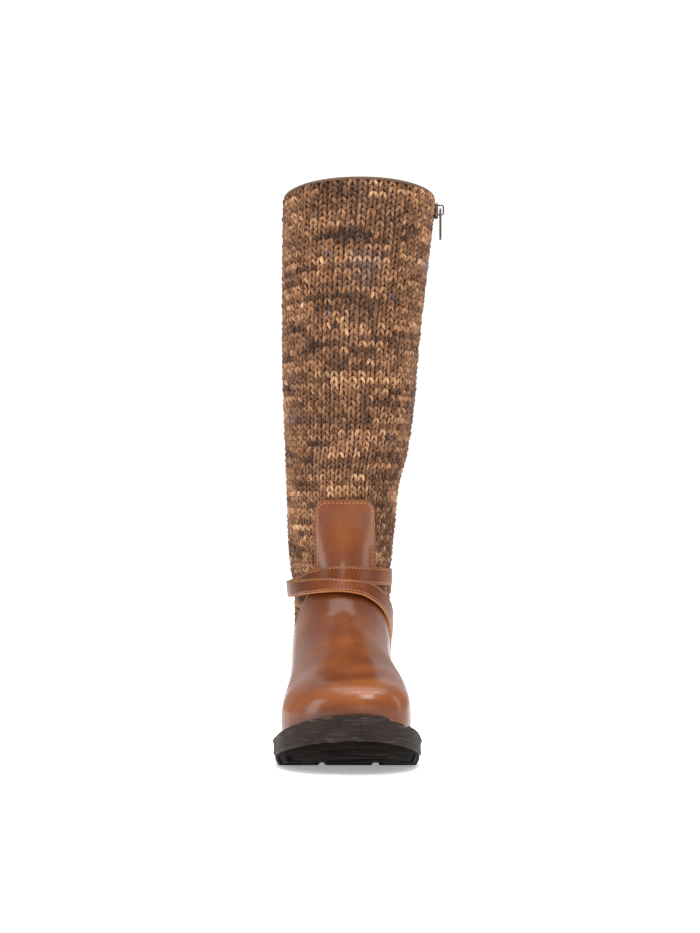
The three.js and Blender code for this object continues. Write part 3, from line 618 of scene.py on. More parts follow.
def shell(outer: Array, inner: Array, values: dict[str, Array]) -> Surface:
    """A wall from two grids of the same size, joined along their borders.

    Args:
        outer: Outer grid of points.
        inner: Inner grid of points.
        values: Values over the outer grid, which the inner one repeats.

    Returns:
        One closed surface.
    """
    rows, columns = outer.shape[:2]
    number = np.arange(rows * columns).reshape(rows, columns)
    border = np.concatenate([number[0, :-1], number[:-1, -1], number[-1, :0:-1], number[:0:-1, 0]])
    inside = border + rows * columns
    ahead, inside_ahead = np.roll(border, -1), np.roll(inside, -1)
    faces = grid_faces(rows, columns)
    both = {k: np.concatenate([v.reshape(-1), v.reshape(-1)]) for k, v in values.items()}
    return Surface(
        np.vstack([outer.reshape(-1, 3), inner.reshape(-1, 3)]),
        [faces, faces[:, ::-1] + rows * columns, np.stack([ahead, border, inside, inside_ahead], -1)],
        both,
    ).outwards()


def lofted(rings: Array, values: dict[str, Array] | None = None) -> Surface:
    """A closed body through rings of points, its two ends closed by fans.

    Args:
        rings: Points, [ring, point, 3].
        values: Values over the rings.

    Returns:
        One closed surface.
    """
    count, size = rings.shape[:2]
    number = np.arange(count * size).reshape(count, size)
    ends = np.stack([rings[0].mean(0), rings[-1].mean(0)])
    points = np.vstack([rings.reshape(-1, 3), ends])
    faces = [
        grid_faces(count, size, True),
        fan(number[0], count * size, True),
        fan(number[-1], count * size + 1, False),
    ]
    full = {k: np.concatenate([v.reshape(-1), v[0, :1], v[-1, :1]]) for k, v in (values or {}).items()}
    return Surface(points, faces, full).outwards()


def capped_tubes(rings: Array, values: dict[str, Array] | None = None) -> Surface:
    """Many small tubes as one surface, each closed by a flat cap at both ends.

    Args:
        rings: Points, [tube, station, side, 3].
        values: Values over the same points.

    Returns:
        All tubes.
    """
    count, stations, sides = rings.shape[:3]
    size = stations * sides
    start = (np.arange(count) * size)[:, None, None]
    faces = grid_faces(stations, sides, True)[None] + start
    caps = np.stack([np.arange(sides)[::-1], np.arange(size - sides, size)])[None] + start
    flat = {k: v.reshape(-1) for k, v in (values or {}).items()}
    return Surface(rings.reshape(-1, 3), [faces.reshape(-1, 4), caps.reshape(-1, sides)], flat).outwards()


def make_piece(name: str, surface: Surface, finish: bpy.types.Material, slot: Slot,
               stands_for: tuple[str, ...] = (), body: Body = Body.BOOT) -> bpy.types.Object:
    """Makes a Blender object of a surface and ties it to the frame.

    Args:
        name: The piece's name.
        surface: Its surface, in millimetres.
        finish: Its material.
        slot: The record's slot that it takes its finish from; not used.
        stands_for: CAD nodes that it replaces.
        body: The body that it rides on.

    Returns:
        The object.
    """
    mesh = bpy.data.meshes.new(name)
    sizes = np.concatenate([np.full(len(f), f.shape[1]) for f in surface.faces])
    corners = np.concatenate([f.reshape(-1) for f in surface.faces])
    mesh.vertices.add(len(surface.points))
    mesh.vertices.foreach_set("co", (surface.points * MM).astype(np.float32).reshape(-1))
    mesh.loops.add(len(corners))
    mesh.loops.foreach_set("vertex_index", corners.astype(np.int32))
    mesh.polygons.add(len(sizes))
    mesh.polygons.foreach_set("loop_start", (np.cumsum(sizes) - sizes).astype(np.int32))
    mesh.update(calc_edges=True)
    mesh.polygons.foreach_set("use_smooth", np.ones(len(sizes), bool))
    for key, value in surface.values.items():
        attribute = mesh.attributes.new(key, "FLOAT", "POINT")
        attribute.data.foreach_set("value", value.astype(np.float32))
    mesh.materials.append(finish)
    piece = bpy.data.objects.new(name, mesh)
    bpy.context.scene.collection.objects.link(piece)
    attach(piece, body.value)
    if stands_for:
        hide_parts(*stands_for)
    LOG.info("%s: %d triangles", name, int(np.sum(sizes - 2)))
    return piece


def border_offset(rows: int, columns: int, full: float, drop: float) -> Array:
    """An offset over a grid that is full inside and lower on the border.

    Args:
        rows: Rows of the grid.
        columns: Its columns.
        full: The offset inside.
        drop: How much lower the border is.

    Returns:
        The offset.
    """
    offset = np.full((rows, columns), full)
    offset[0] = offset[-1] = full - drop
    offset[:, 0] = offset[:, -1] = full - drop
    return offset


def border_mark(rows: int, columns: int) -> Array:
    """1 on a grid's border and 0 inside."""
    return (border_offset(rows, columns, 0.0, 1.0) < 0).astype(float)


def with_rims(count: int, rim: float) -> Array:
    """Even shares from 0 to 1 with one more close to each end, where a cut edge begins."""
    return np.concatenate([[0.0], np.linspace(rim, 1 - rim, count), [1.0]])


def beads(middles: Array, ahead: Array, out: Array, length: float, radius: float) -> Surface:
    """Many short thread stitches: capsules of five sides and four rings that lie on a surface.

    Args:
        middles: Middle of each stitch.
        ahead: Direction of each.
        out: The surface's outward direction at each.
        length: Length of a stitch.
        radius: Its radius.

    Returns:
        All stitches as one surface.
    """
    ahead, out = unit(ahead), unit(out)
    side = unit(np.cross(ahead, out))
    place = (np.array([-0.5, -0.28, 0.28, 0.5]) * length)[:, None, None]
    wide = (np.array([0.45, 1.0, 1.0, 0.45]) * radius)[:, None, None]
    sink = (np.array([-1.1, 0.15, 0.15, -1.1]) * radius)[:, None, None]
    angle = (np.arange(5) / 5 * 2 * np.pi)[:, None]
    middles, ahead, out, side = (v[:, None, None] for v in (middles, ahead, out, side))
    across = side * wide * np.cos(angle)
    return capped_tubes(middles + ahead * place + out * (sink + wide * np.sin(angle)) + across)


def spaced(path: Array, pitch: float) -> tuple[Array, Array, Array]:
    """Even places along a path of points.

    Args:
        path: Points along the path.
        pitch: Distance from one place to the next.

    Returns:
        Whole part and share of each place's index in the path, and the places' points.
    """
    run = run_along(path)
    at = np.interp(np.arange(pitch / 2, run[-1], pitch), run, np.arange(len(path)))
    i = np.clip(at.astype(int), 0, len(path) - 2)
    t = (at - i)[:, None]
    return i, t, lerp(path[i], path[i + 1], t)


def stitched(path: Array, out: Array, pitch: float = 3.1, length: float = 2.3, radius: float = 0.3) -> Surface:
    """A row of thread stitches along a path on a surface.

    Args:
        path: Points of the row, on the surface.
        out: The outward direction at each.
        pitch: From stitch to stitch.
        length: Of a stitch.
        radius: Of the thread.

    Returns:
        The row.
    """
    i, t, middles = spaced(path, pitch)
    return beads(middles, path[i + 1] - path[i], lerp(out[i], out[i + 1], t), length, radius)


def linear(red: float, green: float, blue: float) -> tuple[float, float, float, float]:
    """A colour as the screen shows it, made linear.

    Args:
        red: From 0 to 255, like the others.
        green: Its green.
        blue: Its blue.

    Returns:
        The linear colour, opaque.
    """
    c = np.array([red, green, blue]) / 255
    c = np.where(c <= 0.04045, c / 12.92, ((c + 0.055) / 1.055) ** 2.4)
    return (*(float(v) for v in c), 1.0)


class Graph:
    """Adds nodes to a tree and links them by name."""

    def __init__(self, tree: bpy.types.NodeTree) -> None:
        """Keeps the tree."""
        self.tree = tree

    def add(self, kind: str, settings: dict | None = None, **inputs: object) -> bpy.types.Node:
        """Adds a node.

        Args:
            kind: The node's type.
            settings: Values for its own properties.
            **inputs: A value or another node's output for each socket, with _ for a space, or iN for
                socket number N.

        Returns:
            The node.
        """
        node = self.tree.nodes.new(kind)
        for key, value in (settings or {}).items():
            setattr(node, key, value)
        for key, value in inputs.items():
            numbered = key[0] == "i" and key[1:].isdigit()
            socket = node.inputs[int(key[1:])] if numbered else node.inputs[key.replace("_", " ")]
            if isinstance(value, bpy.types.NodeSocket):
                self.tree.links.new(value, socket)
            else:
                socket.default_value = value
        return node

    def math(self, operation: str, a: object, b: object = 0.0) -> bpy.types.NodeSocket:
        """A Math node's output."""
        return self.add("ShaderNodeMath", {"operation": operation}, i0=a, i1=b).outputs[0]

    def mix(self, share: object, a: object, b: object, blend: str = "MIX") -> bpy.types.NodeSocket:
        """A colour mix's output."""
        node = self.add("ShaderNodeMix", {"data_type": "RGBA", "blend_type": blend}, i0=share, i6=a, i7=b)
        return node.outputs[2]

    def ramp(self, value: bpy.types.NodeSocket, stops: list[tuple[float, tuple]]) -> bpy.types.NodeSocket:
        """A colour ramp's output.

        Args:
            value: What runs along the ramp.
            stops: Places from 0 to 1 and their colours, as the screen shows them.

        Returns:
            The ramp's colour.
        """
        node = self.add("ShaderNodeValToRGB", None, Fac=value)
        elements = node.color_ramp.elements
        while len(elements) < len(stops):
            elements.new(0.5)
        for element, (place, colour) in zip(elements, stops):
            element.position, element.color = place, linear(*colour)
        return node.outputs[0]

    def value(self, name: str) -> bpy.types.NodeSocket:
        """A mesh attribute's value."""
        return self.add("ShaderNodeAttribute", {"attribute_name": name}).outputs["Fac"]

    def spread(self, source: bpy.types.NodeSocket, low: float, high: float, to_low: float = 0.0,
               to_high: float = 1.0) -> bpy.types.NodeSocket:
        """A value's range moved to another range and held at its ends."""
        node = self.add("ShaderNodeMapRange", None, Value=source, From_Min=low, From_Max=high, To_Min=to_low,
                        To_Max=to_high)
        return node.outputs[0]

    def noise(self, vector: object, scale: float, detail: float = 3.0,
              rough: float = 0.55) -> bpy.types.NodeSocket:
        """A noise texture's value."""
        return self.add("ShaderNodeTexNoise", None, Vector=vector, Scale=scale, Detail=detail,
                        Roughness=rough).outputs["Fac"]


def new_group(name: str, inputs: list[tuple[str, float]],
              outputs: list[str]) -> tuple[Graph, bpy.types.Node, bpy.types.Node]:
    """Starts a shader group.

    Args:
        name: The group's name.
        inputs: Its number inputs with their defaults.
        outputs: Its number outputs.

    Returns:
        Its graph, its input node and its output node.
    """
    tree = bpy.data.node_groups.new(name, "ShaderNodeTree")
    for label, default in inputs:
        tree.interface.new_socket(label, in_out="INPUT", socket_type="NodeSocketFloat").default_value = default
    for label in outputs:
        tree.interface.new_socket(label, in_out="OUTPUT", socket_type="NodeSocketFloat")
    graph = Graph(tree)
    return graph, graph.add("NodeGroupInput"), graph.add("NodeGroupOutput")


def grain_group() -> bpy.types.NodeTree:
    """Leather's grain: cells a little over a millimetre wide, finer wrinkles, and a slow mottle."""
    graph, _, out = new_group("leather_grain", [], ["Height", "Mottle", "Fine"])
    place = graph.add("ShaderNodeTexCoord").outputs["Object"]
    voronoi = graph.add("ShaderNodeTexVoronoi", {"feature": "SMOOTH_F1"}, Vector=place, Scale=620.0)
    cells = graph.math("MULTIPLY", voronoi.outputs["Distance"], 0.7)
    fine = graph.noise(place, 1500.0, 2.0)
    height = graph.math("ADD", cells, graph.math("MULTIPLY", fine, 0.4))
    mottle = graph.noise(place, 26.0, 4.0, 0.6)
    for label, source in (("Height", height), ("Mottle", mottle), ("Fine", fine)):
        graph.tree.links.new(source, out.inputs[label])
    return graph.tree


def weave_group() -> bpy.types.NodeTree:
    """A plain weave or rib: two sets of waves at right angles, broken by a fine noise."""
    graph, into, out = new_group("weave", [("Across", 900.0), ("Up", 900.0)], ["Height"])
    place = graph.add("ShaderNodeTexCoord").outputs["Object"]
    axes = graph.add("ShaderNodeSeparateXYZ", None, Vector=place).outputs
    flat = graph.math("ADD", axes["X"], axes["Y"])
    across = graph.math("SINE", graph.math("MULTIPLY", flat, into.outputs["Across"]))
    up = graph.math("SINE", graph.math("MULTIPLY", axes["Z"], into.outputs["Up"]))
    fleck = graph.noise(place, 1300.0, 2.0)
    waves = graph.math("MULTIPLY", graph.math("MULTIPLY", across, up), 0.5)
    graph.tree.links.new(graph.math("ADD", waves, fleck), out.inputs["Height"])
    return graph.tree


class Groups:
    """The shader groups that several finishes share."""

    def __init__(self) -> None:
        """Builds each group once."""
        self.grain = grain_group()
        self.weave = weave_group()


@dataclass(frozen=True)
class Finish:
    """A finish: its name and the numbers of its shine. Each kind paints its own colour and relief."""

    name: str
    roughness: float = 0.6
    sheen: float = 0.0
    sheen_roughness: float = 0.5
    specular: float = 0.5
    metallic: float = 0.0
    coat: float = 0.0
    coat_roughness: float = 0.21

    def paint(self, graph: Graph, groups: Groups) -> dict[str, object]:
        """Paints the finish.

        Args:
            graph: The material's graph.
            groups: The shared shader groups.

        Returns:
            The colour, the relief's height, depth and strength, and a roughness if it varies.
        """
        raise NotImplementedError

    def material(self, groups: Groups) -> bpy.types.Material:
        """Builds the material.

        Args:
            groups: The shared shader groups.

        Returns:
            The material.
        """
        made = bpy.data.materials.new(self.name)
        made.use_nodes = True
        made.node_tree.nodes.clear()
        graph = Graph(made.node_tree)
        look = self.paint(graph, groups)
        shader = graph.add(
            "ShaderNodeBsdfPrincipled", None, Base_Color=look["colour"], Metallic=self.metallic,
            Roughness=look.get("roughness", self.roughness), Specular_IOR_Level=self.specular,
            Sheen_Weight=self.sheen, Sheen_Roughness=self.sheen_roughness,
            Coat_Weight=self.coat, Coat_Roughness=self.coat_roughness,
        )
        bump = graph.add("ShaderNodeBump", None, Height=look["height"], Strength=look["strength"],
                         Distance=look["depth"])
        graph.tree.links.new(bump.outputs[0], shader.inputs["Normal"])
        out = graph.add("ShaderNodeOutputMaterial")
        graph.tree.links.new(shader.outputs[0], out.inputs["Surface"])
        return made


@dataclass(frozen=True)
class Yarn(Finish):
    """Space-dyed wool: a tone that changes along the yarn, with fibre streaks and a mauve cast in places."""

    def paint(self, graph: Graph, groups: Groups) -> dict[str, object]:
        """Colour from the stitch's tone, moved by fibre streaks; relief from the same streaks."""
        run, spin, tone = graph.value("run"), graph.value("spin"), graph.value("tone")
        twist = graph.math("ADD", graph.math("MULTIPLY", spin, 4 * np.pi), graph.math("MULTIPLY", run, 1.7))
        ply = graph.math("SINE", twist)
        place = graph.add("ShaderNodeCombineXYZ", None, X=graph.math("MULTIPLY", run, 0.7),
                          Y=graph.math("MULTIPLY", spin, 9.0), Z=graph.math("MULTIPLY", tone, 11.0)).outputs[0]
        streak = graph.noise(place, 1.9, 4.0, 0.7)
        hairs = graph.noise(place, 3.6, 2.0, 0.6)
        shade = graph.math("ADD", tone, graph.spread(streak, 0.25, 0.75, -0.36, 0.36))
        shade = graph.math("ADD", shade, graph.math("MULTIPLY", ply, 0.1))
        colour = graph.ramp(shade, [
            (0.0, (48, 28, 16)), (0.22, (81, 51, 31)), (0.45, (118, 79, 51)),
            (0.64, (153, 108, 74)), (0.84, (190, 144, 105)), (1.0, (218, 180, 142)),
        ])
        colour = graph.mix(graph.value("tint"), colour, linear(98, 84, 88))
        dull = graph.spread(hairs, 0.35, 0.75, 0.0, 0.55)
        colour = graph.mix(dull, colour, (0.55, 0.48, 0.42, 1.0), "MULTIPLY")
        relief = graph.math("ADD", hairs, graph.math("MULTIPLY", ply, 0.4))
        return {"colour": colour, "height": relief, "depth": 0.0006, "strength": 0.7}


@dataclass(frozen=True)
class Leather(Finish):
    """Burnished smooth leather, darker in its mottle, paler on its cut edges."""

    dark: tuple = (78, 35, 12)
    base: tuple = (97, 47, 16)
    light: tuple = (122, 65, 23)
    edge: tuple = (178, 118, 70)

    def paint(self, graph: Graph, groups: Groups) -> dict[str, object]:
        """Colour from the mottle, the shade attribute's painted shade and painted highlight, and the cut edge;
        relief from the grain.
        """
        grain = graph.add("ShaderNodeGroup", {"node_tree": groups.grain})
        # the shade attribute darkens the colour as painted shade and lightens it at the toe as a painted
        # highlight; on the straps it is one even value
        mottle = graph.math("ADD", grain.outputs["Mottle"], graph.math("MULTIPLY", graph.value("shade"), -0.3))
        colour = graph.ramp(mottle, [
            (0.22, self.dark), (0.46, self.base), (0.72, self.light),
        ])
        edge = graph.value("edge")
        rub = graph.math("MULTIPLY", graph.spread(grain.outputs["Fine"], 0.3, 0.7, 0.75, 1.0), edge)
        colour = graph.mix(rub, colour, linear(*self.edge))
        rough = graph.spread(grain.outputs["Mottle"], 0.3, 0.7, self.roughness - 0.05, self.roughness + 0.07)
        rough = graph.math("ADD", rough, graph.math("MULTIPLY", edge, 0.3))
        return {"colour": colour, "roughness": rough, "height": grain.outputs["Height"], "depth": 0.00016,
                "strength": 0.4}


@dataclass(frozen=True)
class Rubber(Finish):
    """Dark brown-black rubber with fine lines along the band, rubbed edges and a blotchy tone."""

    lines: float = 6.0
    low: tuple = (22, 15, 12)
    middle: tuple = (33, 24, 20)
    high: tuple = (48, 36, 30)
    scuffed: tuple = (94, 79, 70)

    def paint(self, graph: Graph, groups: Groups) -> dict[str, object]:
        """Colour from a blotchy tone and wear; relief from lines that follow the band and a fine stipple."""
        place = graph.add("ShaderNodeTexCoord").outputs["Object"]
        low = graph.noise(place, 60.0, 5.0, 0.65)
        long = graph.add("ShaderNodeMapping", None, Vector=place, Scale=(60.0, 60.0, 900.0)).outputs[0]
        drag = graph.noise(long, 1.0, 4.0, 0.6)
        level = graph.math("MULTIPLY", graph.value("level"), self.lines * 2 * np.pi)
        line = graph.math("ADD", graph.math("MULTIPLY", graph.math("SINE", level), 0.35), drag)
        colour = graph.ramp(low, [
            (0.3, self.low), (0.55, self.middle), (0.8, self.high),
        ])
        rubbed = graph.spread(graph.value("edge"), 0.0, 1.0, 0.22, 0.85)
        scuff = graph.math("MULTIPLY", graph.spread(drag, 0.5, 0.68), rubbed)
        colour = graph.mix(scuff, colour, linear(*self.scuffed))
        rough = graph.spread(low, 0.3, 0.7, self.roughness - 0.1, self.roughness + 0.1)
        return {"colour": colour, "roughness": rough, "height": line, "depth": 0.0007, "strength": 0.6}


@dataclass(frozen=True)
class Cloth(Finish):
    """Woven cloth or tape of two near tones."""

    dark: tuple = (78, 62, 53)
    light: tuple = (122, 104, 92)
    across: float = 4200.0
    up: float = 4200.0

    def paint(self, graph: Graph, groups: Groups) -> dict[str, object]:
        """Colour between the two tones by the weave's height; relief from the weave."""
        weave = graph.add("ShaderNodeGroup", {"node_tree": groups.weave}, Across=self.across, Up=self.up)
        colour = graph.ramp(weave.outputs["Height"], [(0.1, self.dark), (0.85, self.light)])
        return {"colour": colour, "height": weave.outputs["Height"], "depth": 0.00025, "strength": 0.7}


@dataclass(frozen=True)
class AgedMetal(Finish):
    """Antique brass: grey-brown, brighter where it is rubbed."""

    def paint(self, graph: Graph, groups: Groups) -> dict[str, object]:
        """Colour and roughness from a slow tarnish; relief from fine pits."""
        place = graph.add("ShaderNodeTexCoord").outputs["Object"]
        tarnish = graph.noise(place, 420.0, 4.0, 0.6)
        colour = graph.ramp(tarnish, [
            (0.3, (62, 50, 42)), (0.6, (98, 82, 71)), (0.8, (138, 120, 106)),
        ])
        rough = graph.spread(tarnish, 0.3, 0.75, self.roughness + 0.15, self.roughness - 0.1)
        pits = graph.noise(place, 2600.0, 2.0)
        return {"colour": colour, "roughness": rough, "height": pits, "depth": 0.00008, "strength": 0.4}


class Finishes:
    """Every material of the boot, built once."""

    def __init__(self) -> None:
        """Builds the shared groups and the materials."""
        groups = Groups()
        self.yarn = Yarn("space_dyed_yarn", roughness=0.95, sheen=0.15, specular=0.12).material(groups)
        self.leather = Leather("saddle_leather", roughness=0.4, specular=0.12, coat=0.5).material(groups)
        self.strap = Leather("strap_leather", roughness=0.4, specular=0.14, coat=0.1, dark=(68, 29, 7),
                             base=(94, 44, 12), light=(116, 60, 21)).material(groups)
        self.thread = Cloth("waxed_thread", roughness=0.6, dark=(140, 90, 52), light=(196, 146, 98),
                            across=9000.0, up=9000.0).material(groups)
        self.band = Rubber("band_rubber", roughness=0.6, specular=0.15).material(groups)
        self.tread = Rubber("tread_rubber", roughness=0.75, specular=0.05, lines=2.0, low=(9, 7, 6),
                            middle=(14, 11, 9), high=(22, 17, 15), scuffed=(52, 44, 39)).material(groups)
        # the ground's dark colour is painted shade in the gaps between the stitches
        self.ground = Cloth("knit_ground", roughness=0.95, sheen=0.1, dark=(40, 25, 17), light=(84, 57, 40),
                            across=2600.0, up=2600.0).material(groups)
        self.lining = Cloth("woven_lining", roughness=0.9, dark=(150, 122, 92), light=(196, 168, 134),
                            across=3600.0, up=3600.0).material(groups)
        self.tape = Cloth("zip_tape_weave", roughness=0.85, across=2400.0, up=6200.0).material(groups)
        self.binding = Cloth("binding_tape", roughness=0.85, dark=(60, 42, 30), light=(106, 78, 58),
                             across=5200.0, up=3400.0).material(groups)
        self.metal = AgedMetal("antique_brass", roughness=0.42, metallic=0.85).material(groups)


# the vamp's back edge from the side: share of the length, share of the ankle's height
VAMP_EDGE = np.array([
    [0.305, -0.1], [0.285, 0.25], [0.272, 0.42], [0.272, 0.5],
    [0.29, 0.6], [0.325, 0.695], [0.355, 0.77], [0.38, 0.84],
])
VAMP_TOP = 0.84 * SIZE.ankle_height
# the counter's upper edge from the side: share of the length, height
COUNTER_EDGE = np.array([[-0.1, 97.0], [0.03, 97.0], [0.12, 86.4], [0.2, 74.6], [0.27, 69.0], [0.33, 69.0]])
TAB_HALF, TAB_TOP, TAB_CORNER = 22.0, 190.0, 9.0


def vamp_edge_y(z: Array) -> Array:
    """Y of the vamp's back edge at a height, on its table's straight lines."""
    return np.interp(z, VAMP_EDGE[:, 1] * SIZE.ankle_height, y_at(VAMP_EDGE[:, 0]))


def counter_top(y: Array) -> Array:
    """Height of the counter's upper edge at a place along the foot."""
    return np.interp(along(y), COUNTER_EDGE[:, 0], COUNTER_EDGE[:, 1])


def tab_half(z: Array) -> Array:
    """Half width of the tab at a height, with round upper corners."""
    up = np.clip(z - (TAB_TOP - TAB_CORNER), 0.0, TAB_CORNER)
    return TAB_HALF - TAB_CORNER + np.sqrt(np.maximum(TAB_CORNER**2 - up**2, 0.0))


class StrapPath(Enum):
    """The two straps' paths: rows of turn, height and lift off the form."""

    UNDER = (
        (0.035, 130.0, 1.1), (0.1, 131.0, 1.975), (0.17, 132.0, 2.85), (0.25, 132.5, 2.85), (0.33, 130.0, 2.85),
        (0.4, 125.0, 1.975), (0.5, 121.0, 1.1), (0.62, 119.0, 1.1), (0.75, 119.0, 1.1), (0.88, 120.0, 1.1),
        (0.955, 122.0, 1.1),
    )
    OVER = (
        (0.008, 85.0, 1.2), (0.028, 93.0, 1.4), (0.05, 100.0, 2.2), (0.085, 108.0, 2.85), (0.14, 116.5, 4.075),
        (0.2, 121.5, 5.3), (0.27, 123.0, 5.3), (0.34, 122.8, 5.3), (0.42, 121.8, 5.3), (0.5, 120.5, 3.55),
        (0.58, 119.5, 3.55), (0.66, 119.0, 3.55),
    )

    def curve(self) -> Curve:
        """The path's smooth curve over its row number."""
        rows = np.array(self.value)
        return Curve(np.arange(len(rows)), rows)


@dataclass
class Legs:
    """The knit's legs: rings of points [leg, station, side, 3], values over them, and each leg's wale."""

    points: Array
    values: dict[str, Array]
    wale: Array


@dataclass
class KnitShaft:
    """The shaft's chunky stockinette: wales of paired legs on a ground wall with its lining; the wall's dark
    colour is painted shade between the stitches.
    """

    wales: int = 48
    pitch: float = 4.25
    first: float = 62.0
    last: float = 430.0
    wale_width: float = 7.6
    radius: float = 1.42
    end_radius: float = 0.8
    base: float = -1.2
    over_rim: float = 0.5
    ground: float = -2.3
    # a leg at its start, middle and end: across in wales, up in courses, depth in millimetres
    leg_across: tuple = (0.05, 0.235, 0.42)
    leg_up: tuple = (0.72, 0.1, -0.68)
    leg_depth: tuple = (-0.6, 0.95, -0.8)
    # spread of a leg's across, up, depth and thickness
    jitter: tuple = (0.02, 0.07, 0.2, 0.13)
    lean_across: float = 0.9
    lean_up: float = 0.44
    squeeze: tuple = (0.72, 1.05)
    sides: int = 6
    stations: int = 6
    quarters: int = 4
    chart_columns: int = 386
    wall_columns: int = 150
    foot_rows: int = 26
    leg_rows: int = 100
    fibres: int = 15000
    fibre_length: tuple = (1.6, 5.2)
    fibre_radius: tuple = (0.1, 0.07)
    seed: int = 11

    def zip_edge(self, z: Array, aside: Array) -> Array:
        """Turn of a line beside the zip's middle line, a distance aside towards the heel."""
        return LAST.turn_at(zip_y(z) + aside, z, 1, -0.15, 0.12)

    def chart(self) -> Chart:
        """The shaft's skin from the zip's front edge round the front and back to its rear edge."""
        levels = np.arange(54.0, 436.0, 2.0)
        half = SIZE.zip_slot / 2 * ease((levels - SIZE.zip_foot + 3) / 3) + 0.15
        return Chart(levels, self.zip_edge(levels, -half), 1 + self.zip_edge(levels, half), self.chart_columns)

    def tones(self, rng: np.random.Generator, courses: int) -> tuple[Array, Array]:
        """Each stitch's tone: the yarn's dye runs on from stitch to stitch along a course.

        Args:
            rng: The seeded source.
            courses: Number of courses.

        Returns:
            Tone from dark 0 to light 1, and mauve cast from 0 to 1, both [course, wale].
        """
        total = courses * self.wales
        shape = (courses, self.wales)
        ends = np.cumsum(rng.gamma(1.6, 1.9, total) + 0.5)
        run = np.searchsorted(ends, np.arange(total))
        dye = rng.normal(0.45, 0.11, total)[run] + rng.normal(0, 0.055, total)
        tone = dye.reshape(shape) + 0.085 * cloud(rng, shape, (3, 6))
        mauve = ease((cloud(rng, shape, (4, 5)) - 0.8) / 1.2) * rng.uniform(0.3, 0.8, shape)
        lone = (rng.random(shape) < 0.008) * rng.uniform(0.3, 0.6, shape)
        return np.clip(tone, 0.02, 1.0), np.maximum(mauve, lone)

    def pressed(self, point: Array, turn: Array) -> Array:
        """How far leather presses the knit in, near the tab's edge and along the straps.

        Args:
            point: Points of the form.
            turn: Their turns.

        Returns:
            From 0 to 1.
        """
        beside = np.maximum(np.abs(point[..., 0]) - TAB_HALF, point[..., 2] - TAB_TOP)
        tab = ease(1 - beside / 5.0) * (point[..., 1] < -20)
        press = tab * 0.8
        for strap in StrapPath:
            rows = np.array(strap.value)
            t = np.where(turn > 1, turn - 1, turn)
            middle = np.interp(t, rows[:, 0], rows[:, 1])
            inside = (t > rows[0, 0] - 0.01) & (t < rows[-1, 0] + 0.01)
            band = ease(1.4 - np.abs(point[..., 2] - middle) / 9.0) * inside
            press = np.maximum(press, band)
        return press

    def hidden(self, point: Array) -> Array:
        """Whether a stitch lies well under leather.

        Args:
            point: Points of the form.

        Returns:
            True where it does.
        """
        x, y, z = point[..., 0], point[..., 1], point[..., 2]
        tab = (np.abs(x) < TAB_HALF - 5) & (z < TAB_TOP - 5) & (y < -20)
        vamp = (y < vamp_edge_y(z) - 5) & (z < VAMP_TOP)
        return tab | vamp | (z < counter_top(y) - 6)

    def legs(self, chart: Chart, rng: np.random.Generator) -> Legs:
        """Every leg that shows.

        A leg starts near its wale's middle line high in the course, bows outwards over the course
        below and goes in beside the next wale: each of across, up and depth is a parabola through
        three named places, and its radius swells as sin^0.7 between its ends.

        Args:
            chart: The shaft's skin.
            rng: The seeded source.

        Returns:
            The legs, with the values tone, tint, run along the yarn and spin round it.
        """
        count = int((self.last - self.first) / self.pitch)
        course, wale, hand = np.meshgrid(np.arange(count), np.arange(self.wales), [-1, 1], indexing="ij")
        shape = course.shape
        tone, tint = self.tones(rng, count)
        leg_tone = tone[course, wale] + rng.normal(0, 0.09, shape)
        leg_tint = tint[course, wale]
        t = np.linspace(0, 1, self.stations)
        bow = np.stack([2 * (t - 0.5) * (t - 1), 4 * t * (1 - t), 2 * t * (t - 0.5)])
        jitter = rng.normal(0, 1, (*shape, 4)) * self.jitter
        sway = 0.10 * np.sin(course * 0.31 + wale * 1.7) + 0.05 * np.sin(course * 0.83 + wale * 0.6)
        across = hand[..., None] * np.dot(self.leg_across, bow) + 0.5
        across = across + (wale + jitter[..., 0] + sway * 0.35)[..., None]
        up = np.dot(self.leg_up, bow) + (course + jitter[..., 1])[..., None]
        depth = np.dot(self.leg_depth, bow) + jitter[..., 2, None]
        thick = np.clip(1 + jitter[..., 3], 0.7, 1.3)[..., None]
        radius = (self.end_radius + (self.radius - self.end_radius) * np.sin(np.pi * t) ** 0.7) * thick
        turn = np.arange(self.sides) / self.sides * 2 * np.pi
        beside = radius[..., None] * np.cos(turn)
        share = (across[..., None] + beside * self.lean_across / self.wale_width) / self.wales
        level = self.first + self.pitch * up[..., None] + beside * self.lean_up * hand[..., None, None]
        height = depth[..., None] + radius[..., None] * np.sin(turn)
        seen = chart.look(share, level)
        squeeze = np.clip(seen[..., 7] / self.wales / self.wale_width, *self.squeeze)
        offset = self.base + height * squeeze
        press = self.pressed(seen[..., :3], seen[..., 6])
        offset = offset - press * np.maximum(offset + 0.6, 0.0) * 0.75
        points = seen[..., :3] + seen[..., 3:6] * offset[..., None]
        keep = ~self.hidden(seen[..., self.stations // 2, 0, :3])
        keep &= (points[..., 2] < collar(points[..., 1]) + self.over_rim).all((-1, -2))
        values = {
            "tone": leg_tone[..., None, None],
            "tint": leg_tint[..., None, None],
            "run": (up * self.pitch / 2.2)[..., None] + 37.0 * rng.random(shape)[..., None, None],
            "spin": turn / (2 * np.pi),
        }
        full = {k: np.broadcast_to(v, share.shape)[keep] for k, v in values.items()}
        return Legs(points[keep], full, wale[keep])

